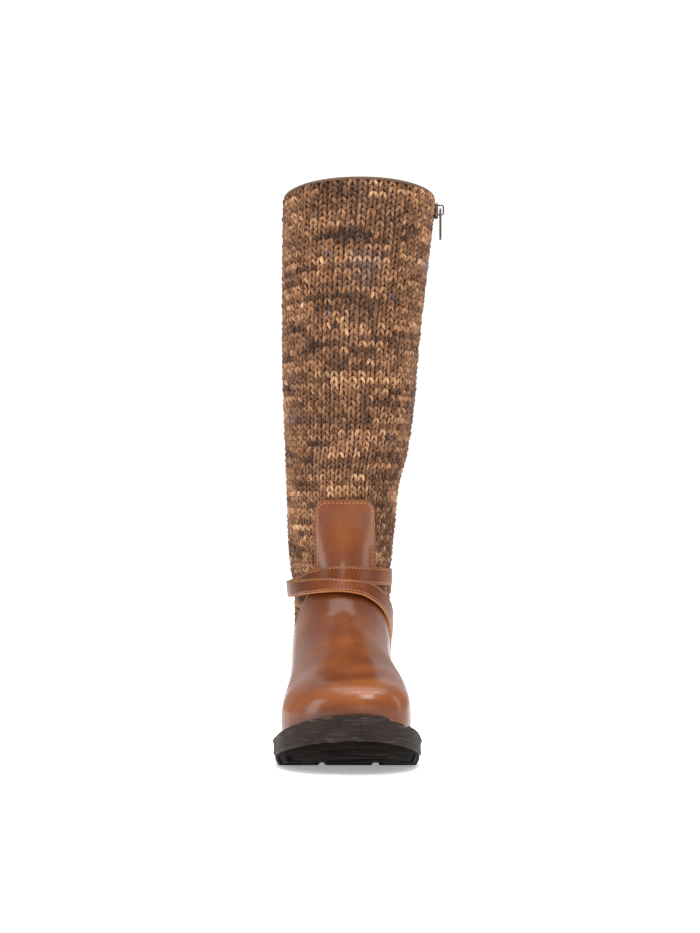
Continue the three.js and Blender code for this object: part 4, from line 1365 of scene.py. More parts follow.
    def fuzz(self, legs: Legs, rng: np.random.Generator) -> Surface:
        """Loose fibres: thin three-sided spikes that leave a leg, bend and lie along the knit.

        Args:
            legs: The legs.
            rng: The seeded source.

        Returns:
            All fibres as one surface.
        """
        points = legs.points
        pick = rng.integers(0, len(points), self.fibres)
        station = rng.integers(1, self.stations - 1, self.fibres)
        side = rng.integers(0, self.sides // 2 + 1, self.fibres)
        root = points[pick, station, side]
        middle = points[pick, station].mean(1)
        out = unit(root - middle)
        drift = unit(rng.normal(0, 1, (self.fibres, 3)))
        ahead = unit(out * 0.55 + drift)
        length = rng.uniform(*self.fibre_length, self.fibres)[:, None]
        bend = root + ahead * length * 0.5
        tip = bend + unit(ahead + unit(rng.normal(0, 1, (self.fibres, 3))) * 0.9 - out * 0.25) * length * 0.6
        a = unit(np.cross(ahead, rng.normal(0, 1, (self.fibres, 3))))
        b = np.cross(ahead, a)
        angle = np.arange(3) / 3 * 2 * np.pi
        circle = a[:, None] * np.cos(angle)[:, None] + b[:, None] * np.sin(angle)[:, None]
        base, half = (circle * radius for radius in self.fibre_radius)
        rings = np.concatenate([(root - ahead * 0.2)[:, None] + base, bend[:, None] + half, tip[:, None]], 1)
        size = rings.shape[1]
        start = (np.arange(self.fibres) * size)[:, None, None]
        quads = grid_faces(2, 3, True)[None] + start
        caps = np.array([[2, 1, 0], [3, 4, 6], [4, 5, 6], [5, 3, 6]])[None] + start
        first = {k: v[pick, 0, 0] for k, v in legs.values.items()}
        first["tone"] = np.clip(first["tone"] + rng.normal(0.1, 0.12, self.fibres), 0, 1)
        values = {k: np.repeat(v, size) for k, v in first.items()}
        return Surface(rings.reshape(-1, 3), [quads.reshape(-1, 4), caps.reshape(-1, 3)], values).outwards()

    def wall(self) -> Surface:
        """The ground wall: two skins of the form from the toe's tip to the collar, open along the zip.

        Each column keeps a share of the turn between the slot's edges, and each row a share of the way
        from the toe's tip to the collar's line. Below the sole's top it is pressed flat.
        """
        share = np.linspace(0, 1, self.wall_columns)[None]
        foot, leg = np.linspace(0, 0.3, self.foot_rows), np.linspace(0.3, 1, self.leg_rows)
        up = np.concatenate([foot[:-1], leg])[:, None]
        turn = share + 0 * up
        top = LAST.row_at(share[0], collar(LAST.point(np.full(share.shape[1], 21.0), share[0])[:, 1]))
        levels = np.arange(40.0, 446.0, 6.0)
        half = SIZE.zip_slot / 2 * ease((levels - SIZE.zip_foot) / 1.5 + 0.5) + 0.02
        front, rear = self.zip_edge(levels, -half), self.zip_edge(levels, half)
        for _ in range(3):
            row = -1 + (np.interp(turn % 1, share[0], top) + 1) * up
            z = LAST.point(row, turn)[..., 2]
            turn = lerp(np.interp(z, levels, front), 1 + np.interp(z, levels, rear), share)
        grids = []
        for offset in (self.ground, -SIZE.wall):
            grid = LAST.skin(row, turn, offset)
            grid[..., 2] = np.clip(grid[..., 2], SOLE.seat(grid[..., 1]), collar(grid[..., 1]))
            grids.append(grid)
        return shell(grids[0], grids[1], {})

    def build(self, finishes: Finishes) -> None:
        """Builds the wall, the stitches in four quarters, and the fuzz."""
        rng = np.random.default_rng(self.seed)
        wall = make_piece("knit_wall", self.wall(), finishes.ground, Slot.KNIT, ("upper",))
        wall.data.materials.append(finishes.lining)
        faces = (self.wall_columns - 1) * (self.foot_rows + self.leg_rows - 2)
        inside = np.zeros(len(wall.data.polygons), np.int32)
        inside[faces : 2 * faces] = 1
        wall.data.polygons.foreach_set("material_index", inside)
        legs = self.legs(self.chart(), rng)
        for quarter in range(self.quarters):
            chosen = legs.wale * self.quarters // self.wales == quarter
            tubes = capped_tubes(legs.points[chosen], {k: v[chosen] for k, v in legs.values.items()})
            make_piece(f"knit_stitches_{quarter + 1}", tubes, finishes.yarn, Slot.KNIT)
        make_piece("yarn_fuzz", self.fuzz(legs, rng), finishes.yarn, Slot.KNIT)


@dataclass
class LeatherFoot:
    """The vamp with its tall front tab, and the counter round the heel."""

    low: float = 0.3
    high: float = 2.2
    under_sole: float = 1.5
    seam: float = 2.6
    seam_rows: float = 0.09
    edge_drop: float = 0.5
    box_edge: float = -217.0
    box_middle: float = 13.0
    box_ridge: float = 0.5
    box_trough: float = 1.6

    def creases(self, point: Array) -> Array:
        """Soft troughs and ridges: bells about lines over the instep, and about the toe box's edge.

        Args:
            point: Points of the form.

        Returns:
            How far each is moved out or in.
        """
        x, y, z = point[..., 0], point[..., 1], point[..., 2]
        lines = (  # height at the middle, drop to the sides, width, depth, sideways place
            (104.0, 7.0, 4.5, -0.55, -6.0),
            (92.0, 9.0, 5.0, -0.45, 8.0),
            (83.0, 6.0, 6.0, 0.35, 0.0),
        )
        move = np.zeros(x.shape)
        for height, drop, width, depth, centre in lines:
            line = height - drop * ((x - centre) / 40) ** 2
            near = np.exp(-(((z - line) / width) ** 2) - ((x - centre) / 34) ** 2)
            move += depth * near * (y < -40)
        aside = x - self.box_middle
        behind = y - self.box_edge - 0.006 * aside**2
        ridge = self.box_ridge * np.exp(-((behind / 6) ** 2))
        trough = self.box_trough * np.exp(-(((behind - 25) / 12) ** 2))
        return move + ease((z - 50) / 8) * np.exp(-((aside / 34) ** 2)) * (ridge - trough)

    def panel(self, row: Array, turn: Array, offset: Array, mark: Array) -> Surface:
        """A panel's wall.

        Args:
            row: Row numbers of its grid.
            turn: Turns of its grid.
            offset: How far its outer face stands off the form.
            mark: Its cut edge.

        Returns:
            The wall.
        """
        values = {"edge": mark, "shade": self.shade(LAST.point(row, turn))}
        return shell(LAST.skin(row, turn, offset), LAST.skin(row, turn, self.low), values)

    def seam_line(self, row: Array, turn: Array) -> tuple[Array, Array]:
        """A seam's points on a panel's outer face, and its outward directions."""
        return LAST.skin(row, turn, self.high), LAST.outward(row, turn)

    def vamp_bounds(self) -> tuple[Array, Array, Array]:
        """Where each row dips under the sole's top.

        Returns:
            Rows, and their turns there on the inner and the outer side.
        """
        rows = np.concatenate([np.linspace(-1, 6, 60)[:-1], np.linspace(6, 13.5, 90)])
        found = []
        for bottom, belly in ((-0.25, 0.0), (0.75, 0.5)):
            a, b = np.full(rows.shape, bottom), np.full(rows.shape, belly)
            for _ in range(20):
                middle = (a + b) / 2
                p = LAST.point(rows, middle)
                under = p[:, 2] < SOLE.seat(p[:, 1]) - self.under_sole
                a, b = np.where(under, middle, a), np.where(under, b, middle)
            found.append((a + b) / 2)
        return rows, found[0], found[1]

    def vamp(self) -> tuple[Surface, Array, Array]:
        """The vamp: rows from the toe's tip to the back edge, turns between the two sides of the sole.

        Returns:
            The wall, and the seam's points and outward directions along the back edge.
        """
        rows, inner, outer = self.vamp_bounds()
        across = with_rims(110, 0.004)
        scan = np.linspace(6, 13.4, 300)[:, None]
        turn = lerp(np.interp(scan, rows, inner), np.interp(scan, rows, outer), across[None])
        p = LAST.point(np.broadcast_to(scan, turn.shape), turn)
        past = np.maximum(p[..., 1] - vamp_edge_y(p[..., 2]), p[..., 2] - VAMP_TOP)
        first = np.argmax(past > 0, 0)
        column = np.arange(len(across))
        a, b = past[first - 1, column], past[first, column]
        end = scan[first - 1, 0] + (scan[1, 0] - scan[0, 0]) * (-a / (b - a))
        up = np.concatenate([[0.0], np.linspace(0.02, 0.995, 120), [1.0]])[:, None]
        row = -1 + (end[None] + 1) * up
        turn = lerp(np.interp(row, rows, inner), np.interp(row, rows, outer), across[None])
        mark = border_mark(*row.shape)
        mark[0] = 0
        mark[:, 0] = mark[:, -1] = 0
        offset = self.high + self.creases(LAST.point(row, turn))
        offset[-1] -= self.edge_drop
        inset = row[-1] - self.seam_rows
        turns = lerp(np.interp(inset, rows, inner), np.interp(inset, rows, outer), across)
        return self.panel(row, turn, offset, mark), *self.seam_line(inset, turns)

    def shade(self, point: Array) -> Array:
        """Painted shade and highlight: darker low on the sides by the sole and under the straps as painted
        shade, paler at the toe's front as a painted highlight.

        Args:
            point: Points of the form.

        Returns:
            The painted shade, darker as it rises; below zero it is the painted highlight.
        """
        # painted shade low by the sole and round the straps' height, and a painted highlight at the toe's front
        low = ease(1 - (point[..., 2] - SOLE.seat(point[..., 1])) / 14)
        strap = np.exp(-(((point[..., 2] - 121) / 16) ** 2)) * 0.7
        toe = np.exp(-(((point[..., 1] + 226) / 14) ** 2))
        return np.maximum(low * 0.8, strap) - toe * 0.45

    def tab(self) -> tuple[Surface, Array, Array]:
        """The tab up the shin: level rows between two sides, with round upper corners.

        Returns:
            The wall, and the seam's points and outward directions round its edge.
        """
        bend = TAB_TOP - TAB_CORNER * (1 - np.sin(np.linspace(0.05, 1.5, 14)))
        height = np.concatenate([np.linspace(127.5, TAB_TOP - TAB_CORNER - 0.5, 44), bend, [TAB_TOP]])
        z = height[:, None]
        share = (with_rims(34, 0.012) * 2 - 1)[None]
        x = -share * tab_half(z)
        turn = LAST.turn_at(x, np.broadcast_to(z, x.shape), 0, 0.04, 0.46)
        row = LAST.row_at(turn, np.broadcast_to(z, x.shape))
        offset = border_offset(*row.shape, self.high, self.edge_drop)
        mark = border_mark(*row.shape)
        offset[0], mark[0, 1:-1] = self.high, 0
        half, corner = TAB_HALF - self.seam, TAB_CORNER - self.seam
        angle = np.linspace(0, np.pi / 2, 8)
        top = TAB_TOP - TAB_CORNER
        line = np.concatenate([
            np.stack([np.full(20, half), np.linspace(130, top, 20)], -1)[:-1],
            np.stack([half - corner + corner * np.cos(angle), top + corner * np.sin(angle)], -1),
        ])
        across = np.stack([np.linspace(half - corner, corner - half, 16), np.full(16, top + corner)], -1)[1:-1]
        line = np.concatenate([line, across, (line * [-1, 1])[::-1]])
        turns = LAST.turn_at(line[:, 0], line[:, 1], 0, 0.04, 0.46)
        rows = LAST.row_at(turns, line[:, 1])
        return self.panel(row, turn, offset, mark), *self.seam_line(rows, turns)

    def counter(self) -> tuple[Surface, Array, Array]:
        """The counter: columns of equal steps round the heel, each from the sole to the upper edge.

        Returns:
            The wall, and the seam's points and outward directions along the upper edge.
        """
        step = 2.0
        levels = np.arange(10.0, 108.0, step)
        dense = np.linspace(0.25, 1.25, 420)[None]
        z = np.broadcast_to(levels[:, None], (len(levels), dense.shape[1]))
        turns = np.broadcast_to(dense, z.shape)
        p = LAST.point(LAST.row_at(turns, z), turns)
        past = p[..., 1] - vamp_edge_y(z) - 2 * SIZE.gap
        behind = past > 0
        run = run_along(p)
        first, final = np.argmax(behind, 1), behind.shape[1] - 1 - np.argmax(behind[:, ::-1], 1)
        across = with_rims(150, 0.004)
        number = np.arange(len(levels))

        def crossing(within: Array, beyond: Array) -> Array:
            """Place along each ring where it passes the vamp's edge, between two of its points."""
            a, b = past[number, within], past[number, beyond]
            return lerp(run[number, within], run[number, beyond], a / (a - b))

        front = crossing(first, np.maximum(first - 1, 0))
        rear = crossing(final, np.minimum(final + 1, past.shape[1] - 1))
        length = lerp(front[:, None], rear[:, None], across[None])
        turn = np.stack([np.interp(s, r, dense[0]) for s, r in zip(length, run)])
        y = np.stack([np.interp(s, r, q[:, 1]) for s, r, q in zip(length, run, p)])
        bounds = []
        for target in (SOLE.seat(y) - self.under_sole, counter_top(y)):
            over = levels[:, None] - target
            k = np.clip(np.argmax(over > 0, 0), 1, len(levels) - 1)
            column = np.arange(len(across))
            a, b = over[k - 1, column], over[k, column]
            bounds.append(levels[k - 1] + step * np.clip(-a / (b - a), 0, 1))

        def placed(height: Array) -> tuple[Array, Array]:
            """Row and turn of each column at its own height.

            Args:
                height: Heights, one a column on the last axis.

            Returns:
                Row numbers and turns.
            """
            at = np.clip((height - levels[0]) / step, 0, len(levels) - 1.001)
            k = at.astype(int)
            columns = np.broadcast_to(np.arange(len(across)), height.shape)
            t = lerp(turn[k, columns], turn[k + 1, columns], at - k)
            return LAST.row_at(t, height), t

        up = np.concatenate([[0.0], np.linspace(0.02, 0.985, 34), [1.0]])[:, None]
        row, t = placed(lerp(bounds[0][None], bounds[1][None], up))
        offset = np.full(row.shape, self.high)
        offset[-1] -= self.edge_drop
        mark = border_mark(*row.shape)
        mark[0] = 0
        return self.panel(row, t, offset, mark), *self.seam_line(*placed(bounds[1] - self.seam))

    def build(self, finishes: Finishes) -> None:
        """Builds the panels and their seams."""
        vamp, *vamp_seam = self.vamp()
        tab, *tab_seam = self.tab()
        counter, *counter_seam = self.counter()
        make_piece("vamp_leather", vamp, finishes.leather, Slot.LEATHER, ("vamp",))
        make_piece("tab_leather", tab, finishes.leather, Slot.LEATHER)
        make_piece("counter_leather", counter, finishes.leather, Slot.LEATHER, ("counter",))
        seams = stitched(*tab_seam).joined(stitched(*vamp_seam)).joined(stitched(*counter_seam))
        make_piece("panel_stitching", seams, finishes.thread, Slot.LEATHER)


@dataclass
class AnkleStraps:
    """Two straps round the ankle, the over one with a rounded end on the outer side."""

    width: float = 13.2
    thick: float = 1.8
    tip: float = 6.0
    steps: int = 190
    # across as a share of the half width, height as a share of the thickness, cut edge
    SECTION = np.array([
        [-1.0, 0.3, 1.0], [-0.985, 0.75, 1.0], [-0.93, 0.98, 0.1], [-0.6, 1.04, 0.0], [0.0, 1.1, 0.0],
        [0.6, 1.04, 0.0], [0.93, 0.98, 0.1], [0.985, 0.75, 1.0], [1.0, 0.3, 1.0], [0.97, 0.0, 1.0],
        [0.0, 0.0, 0.0], [-0.97, 0.0, 1.0],
    ])

    def place(self, curve: Curve, t: Array, share: Array, height: Array, width: Array) -> tuple[Array, Array]:
        """Points of the strap: its section is laid across its path, each point on the form's own skin.

        Args:
            curve: The strap's path.
            t: Places along the path.
            share: Places across, as shares of the half width.
            height: Heights over the strap's underside.
            width: Share of the full width at each place.

        Returns:
            Points and outward directions.
        """
        def on(at: Array, offset: float) -> Array:
            """Points of the form's skin at places along the path, moved out by an offset."""
            c = curve(at)
            return LAST.skin(LAST.row_at(c[..., 0], c[..., 1]), c[..., 0], offset)

        last = curve.xs[-1]
        ahead = unit(on(np.minimum(t + 0.05, last), 0.0) - on(np.maximum(t - 0.05, 0.0), 0.0))
        here, c = on(t, 0.0), curve(t)
        across = unit(np.cross(ahead, on(t, 1.0) - here))
        turn = c[..., 0]
        step = 0.01
        round_ = (LAST.point(LAST.row_at(turn + step, here[..., 2]), turn + step)
                  - LAST.point(LAST.row_at(turn, here[..., 2]), turn))
        per_turn = np.linalg.norm(round_, axis=-1) / step
        flat = np.sum(across * unit(round_), -1)
        reach = share * width * self.width / 2
        side_turn = turn + reach * flat / per_turn
        row = LAST.row_at(side_turn, here[..., 2] + reach * across[..., 2])
        return LAST.skin(row, side_turn, c[..., 2] + height), LAST.outward(row, side_turn)

    def strap(self, path: StrapPath, rounded: bool) -> tuple[Surface, Surface]:
        """A strap and its two rows of stitches.

        Args:
            path: The strap's path.
            rounded: Whether its far end is rounded.

        Returns:
            The strap and its stitching.
        """
        curve = path.curve()
        last = curve.xs[-1]
        t = np.linspace(0, last, self.steps)
        reach = 0.2
        ends = curve(np.array([last - reach, last]))
        p = LAST.point(LAST.row_at(ends[:, 0], ends[:, 1]), ends[:, 0])
        nose = self.tip * reach / np.linalg.norm(p[1] - p[0])
        if rounded:
            t = np.concatenate([t[t < last - nose - 0.02], last - nose * (1 - np.sin(np.linspace(0, 1.5, 12)))])
            width = np.sqrt(np.clip(1 - np.clip((t - last + nose) / nose, 0, 1) ** 2, 0.002, 1))
        else:
            width = np.ones_like(t)
        s = self.SECTION
        shape = (len(t), len(s))
        spread = (t[:, None], s[:, 0], s[:, 1] * self.thick, width[:, None])
        rings, _ = self.place(curve, *(np.broadcast_to(v, shape) for v in spread))
        mark = np.broadcast_to(s[:, 2], shape).copy()
        mark[0] = mark[-1] = 1.0
        body = lofted(rings, {"edge": mark, "shade": np.full(shape, 0.25)})
        rows = []
        run = np.linspace(0.05, last - (nose * 1.1 if rounded else 0.05), 240)
        for share in (-0.74, 0.74):
            seam = self.place(curve, run, share, self.thick * 1.02, 1.0)
            rows.append(stitched(*seam, 2.9, 2.1, 0.26))
        return body, rows[0].joined(rows[1])

    def build(self, finishes: Finishes) -> None:
        """Builds both straps and their stitching."""
        under, under_seam = self.strap(StrapPath.UNDER, False)
        over, over_seam = self.strap(StrapPath.OVER, True)
        make_piece("strap_under_leather", under, finishes.strap, Slot.LEATHER, ("ankle_strap_under",))
        make_piece("strap_over_leather", over, finishes.strap, Slot.LEATHER, ("ankle_strap_over",))
        make_piece("strap_stitching", under_seam.joined(over_seam), finishes.thread, Slot.LEATHER)


def plate(outline: Array, low: float, high: float, bevel: float) -> Surface:
    """A plate square to X with softened rims.

    Args:
        outline: Its outline as [y, z] points, round its middle.
        low: X of its back face.
        high: X of its front face.
        bevel: Size of the softened rim.

    Returns:
        A closed surface.
    """
    middle = outline.mean(0)
    reach = np.linalg.norm(outline - middle, axis=1, keepdims=True)
    small = middle + (outline - middle) * (1 - bevel / reach)
    rings = [np.column_stack([np.full(len(o), x), o]) for o, x in
             ((small, low), (outline, low + bevel), (outline, high - bevel), (small, high))]
    return lofted(np.stack(rings))


def swept(path: Array, out: Array, wide: float, deep: float, sides: int = 12) -> Surface:
    """A bar of elliptic section carried along a path.

    Args:
        path: Points along it.
        out: Direction of its width.
        wide: Its width.
        deep: Its thickness.
        sides: Points round it.

    Returns:
        A closed surface.
    """
    ahead = unit(np.gradient(path, axis=0))
    side = unit(np.cross(ahead, out))
    angle = np.arange(sides) / sides * 2 * np.pi
    rings = (path[:, None] + out * (wide / 2) * np.cos(angle)[None, :, None]
             + side[:, None] * (deep / 2) * np.sin(angle)[None, :, None])
    return lofted(rings)


@dataclass
class SideZip:
    """The inner side's zip: tape, teeth, slider and its hanging pull."""

    origin: tuple = (69.60, -3.68, 414.2)
    pivot: tuple = (74.50, -3.68, 415.4)
    tape_width: float = 22.0
    tape: float = 0.9
    pitch: float = 2.4
    tooth: tuple = (2.9, 1.35, 2.2)
    tooth_aside: float = 1.15
    stop: float = 3.0

    def line(self, z: Array, beside: Array, offset: Array) -> tuple[Array, Array]:
        """Points beside the zip's middle line, on a skin of the form.

        Args:
            z: Heights.
            beside: Distances towards the heel.
            offset: Offsets of the skin.

        Returns:
            Points and outward directions.
        """
        turn = LAST.turn_at(zip_y(z) + beside, z, 1, -0.2, 0.2)
        row = LAST.row_at(turn, z)
        return LAST.skin(row, turn, offset), LAST.outward(row, turn)

    def tapes(self) -> Surface:
        """The two tapes, seen as one strip behind the slot."""
        z = np.linspace(SIZE.zip_foot - 5, SIZE.shaft_height - SIZE.collar_drop - 2.0, 120)[:, None]
        beside = np.linspace(-self.tape_width / 2, self.tape_width / 2, 15)[None]
        z, beside = np.broadcast_arrays(z, beside)
        ridge = 0.35 * np.exp(-((np.abs(beside) - 3.2) ** 2) / 0.4)
        face, _ = self.line(z, beside, -SIZE.wall - SIZE.gap + ridge)
        back, _ = self.line(z, beside, -SIZE.wall - SIZE.gap - self.tape)
        return shell(face, back, {})

    def teeth(self) -> Surface:
        """Two rows of teeth in step with each other: blocks with a narrowed face.

        Returns:
            All teeth as one surface.
        """
        z = np.arange(SIZE.zip_foot + 1.5, SIZE.shaft_height - SIZE.collar_drop - self.stop - 1, self.pitch / 2)
        hand = np.where(np.arange(len(z)) % 2, 1.0, -1.0)
        back, out = self.line(z, hand * self.tooth_aside, -SIZE.wall + 0.1)
        ahead = unit(np.gradient(back[:, 1:] - (hand * self.tooth_aside)[:, None] * [1, 0], axis=0))
        ahead = np.column_stack([np.zeros(len(z)), ahead])
        side = unit(np.cross(out, ahead))
        w, h, d = self.tooth
        corners = np.array([[-1, -1], [1, -1], [1, 1], [-1, 1]]) * 0.5
        rings = []
        for level, scale in ((0.0, 1.0), (d * 0.6, 1.0), (d, 0.62)):
            offset = corners[None] * [w * (0.8 + 0.2 * scale), h * scale]
            rings.append(back[:, None] + out[:, None] * level + side[:, None] * offset[..., :1]
                         + ahead[:, None] * offset[..., 1:])
        return capped_tubes(np.stack(rings, 1))

    def slider(self) -> Surface:
        """The slider: a shield-shaped body, a keel between the teeth and a loop for the pull."""
        right = np.array([
            [3.15, -6.0], [3.9, -3.6], [4.5, 0.6], [4.5, 4.6], [4.1, 5.6], [3.1, 6.0], [1.4, 6.15],
        ])
        left = (right * [-1, 1])[::-1]
        outline = np.vstack([[[0.0, -6.2]], right, left])
        body = plate(outline, 0.1, 3.1, 0.55)
        keel = plate(np.array([[-2.0, -5.6], [2.0, -5.6], [2.0, 5.6], [-2.0, 5.6]]), -1.0, 2.1, 0.3)
        loop = self.corner_path(np.array([[2.2, 4.4], [7.3, 4.4], [7.3, -3.0], [2.2, -3.0]]), 1.7)
        path = np.column_stack([loop[:, 0], np.zeros(len(loop)), loop[:, 1]])
        bail = swept(path, np.array([0.0, 1.0, 0.0]), 2.0, 1.2)
        whole = body.joined(keel).joined(bail)
        whole.points = whole.points + self.origin
        return whole

    def corner_path(self, corners: Array, radius: float) -> Array:
        """A path through corner points, each rounded by a quadratic curve.

        Args:
            corners: The corners, with the path's two ends.
            radius: How far from a corner its curve begins.

        Returns:
            Points.
        """
        parts = [corners[:1]]
        t = np.linspace(0, 1, 7)[:, None]
        for a, b, c in zip(corners[:-2], corners[1:-1], corners[2:]):
            start, end = b + unit(a - b) * radius, b + unit(c - b) * radius
            parts.append(start * (1 - t) ** 2 + b * 2 * t * (1 - t) + end * t**2)
        parts.append(corners[-1:])
        return np.vstack(parts)

    def pull(self) -> Surface:
        """The pull: a leaf with a window at its head and a round foot, its rims softened.

        Returns:
            A closed surface whose rings run from the outer outline to the window and back.
        """
        count = 64
        angle = np.linspace(np.pi, 2 * np.pi, 13)
        foot = np.column_stack([3 * np.cos(angle), -21 + 3 * np.sin(angle)])
        head = np.array([[3.0, -6.0], [3.0, -0.4], [2.4, 0.8], [-2.4, 0.8], [-3.0, -0.4], [-3.0, -6.0]])
        waist = np.array([[2.7, -12.0], [2.7, -9.0]])
        outer = np.vstack([foot, waist, head, (waist * [-1, 1])[::-1]])
        inner = np.array([[0.0, -6.0], [1.6, -5.8], [1.6, -1.0], [0.0, -0.8], [-1.6, -1.0], [-1.6, -5.8]])

        def even(loop: Array, start: Array) -> Array:
            """Even points round a closed loop.

            Args:
                loop: Its corners.
                start: The first point is the corner nearest to this place.

            Returns:
                Points.
            """
            nearest = int(np.argmin(np.linalg.norm(loop - start, axis=1)))
            closed = np.roll(loop, -nearest, 0)
            closed = np.vstack([closed, closed[:1]])
            run = run_along(closed)
            at = np.linspace(0, run[-1], count, endpoint=False)
            return np.column_stack([np.interp(at, run, closed[:, k]) for k in (0, 1)])

        rim, hole = even(outer, np.array([0.0, -24.0])), even(inner, np.array([0.0, -6.0]))
        middle = np.array([0.0, -11.0])
        small = middle + (rim - middle) * (1 - 0.35 / np.linalg.norm(rim - middle, axis=1, keepdims=True))
        rings = [(small, -0.8), (rim, -0.45), (rim, 0.45), (small, 0.8), (hole, 0.8), (hole, -0.8)]
        points = np.stack([np.column_stack([np.full(count, x), o]) for o, x in rings])
        faces = np.vstack([grid_faces(6, count, True),
                           np.stack([np.arange(count) + 5 * count, np.roll(np.arange(count), -1) + 5 * count,
                                     np.roll(np.arange(count), -1), np.arange(count)], -1)])
        return Surface(points.reshape(-1, 3) + self.pivot, [faces]).outwards()

    def build(self, finishes: Finishes) -> None:
        """Builds tape, teeth, slider and pull."""
        make_piece("tape_weave", self.tapes(), finishes.tape, Slot.TAPE, ("zip_tape",))
        make_piece("tooth_rows", self.teeth(), finishes.metal, Slot.METAL, ("zip_teeth",))
        make_piece("slider_body", self.slider(), finishes.metal, Slot.METAL, ("zip_slider",))
        make_piece("pull_leaf", self.pull(), finishes.metal, Slot.METAL, ("zip_pull",), Body.PULL)


@dataclass
class CollarBinding:
    """The folded tape that binds the collar's edge."""

    height: float = 0.9
    lip: float = 0.25
    seat: float = 0.8
    steps: int = 200
    start: float = 0.021
    end: float = 0.989

    def rim(self) -> Surface:
        """A rounded section carried round the collar: a superellipse over the wall's upper end."""
        turn = np.linspace(self.start, self.end, self.steps)[:, None]
        angle = (np.arange(16) / 16 * 2 * np.pi)[None]
        z = collar(LAST.point(21.5, turn)[..., 1])
        row = LAST.row_at(turn, z)
        middle, half = -SIZE.wall / 2, SIZE.wall / 2 + self.lip
        cos, sin = np.cos(angle), np.sin(angle)
        offset = middle + half * np.sign(cos) * np.abs(cos) ** 0.7
        lift = self.height / 2 + (self.height / 2 + self.seat) * np.sign(sin) * np.abs(sin) ** 0.8 - self.seat
        shape = np.broadcast(turn, angle).shape
        rings = LAST.skin(*(np.broadcast_to(v, shape) for v in (row, turn, offset)))
        rings[..., 2] = z + lift
        return lofted(rings)

    def build(self, finishes: Finishes) -> None:
        """Builds the binding."""
        make_piece("rim_binding", self.rim(), finishes.binding, Slot.TAPE, ("collar_binding",))


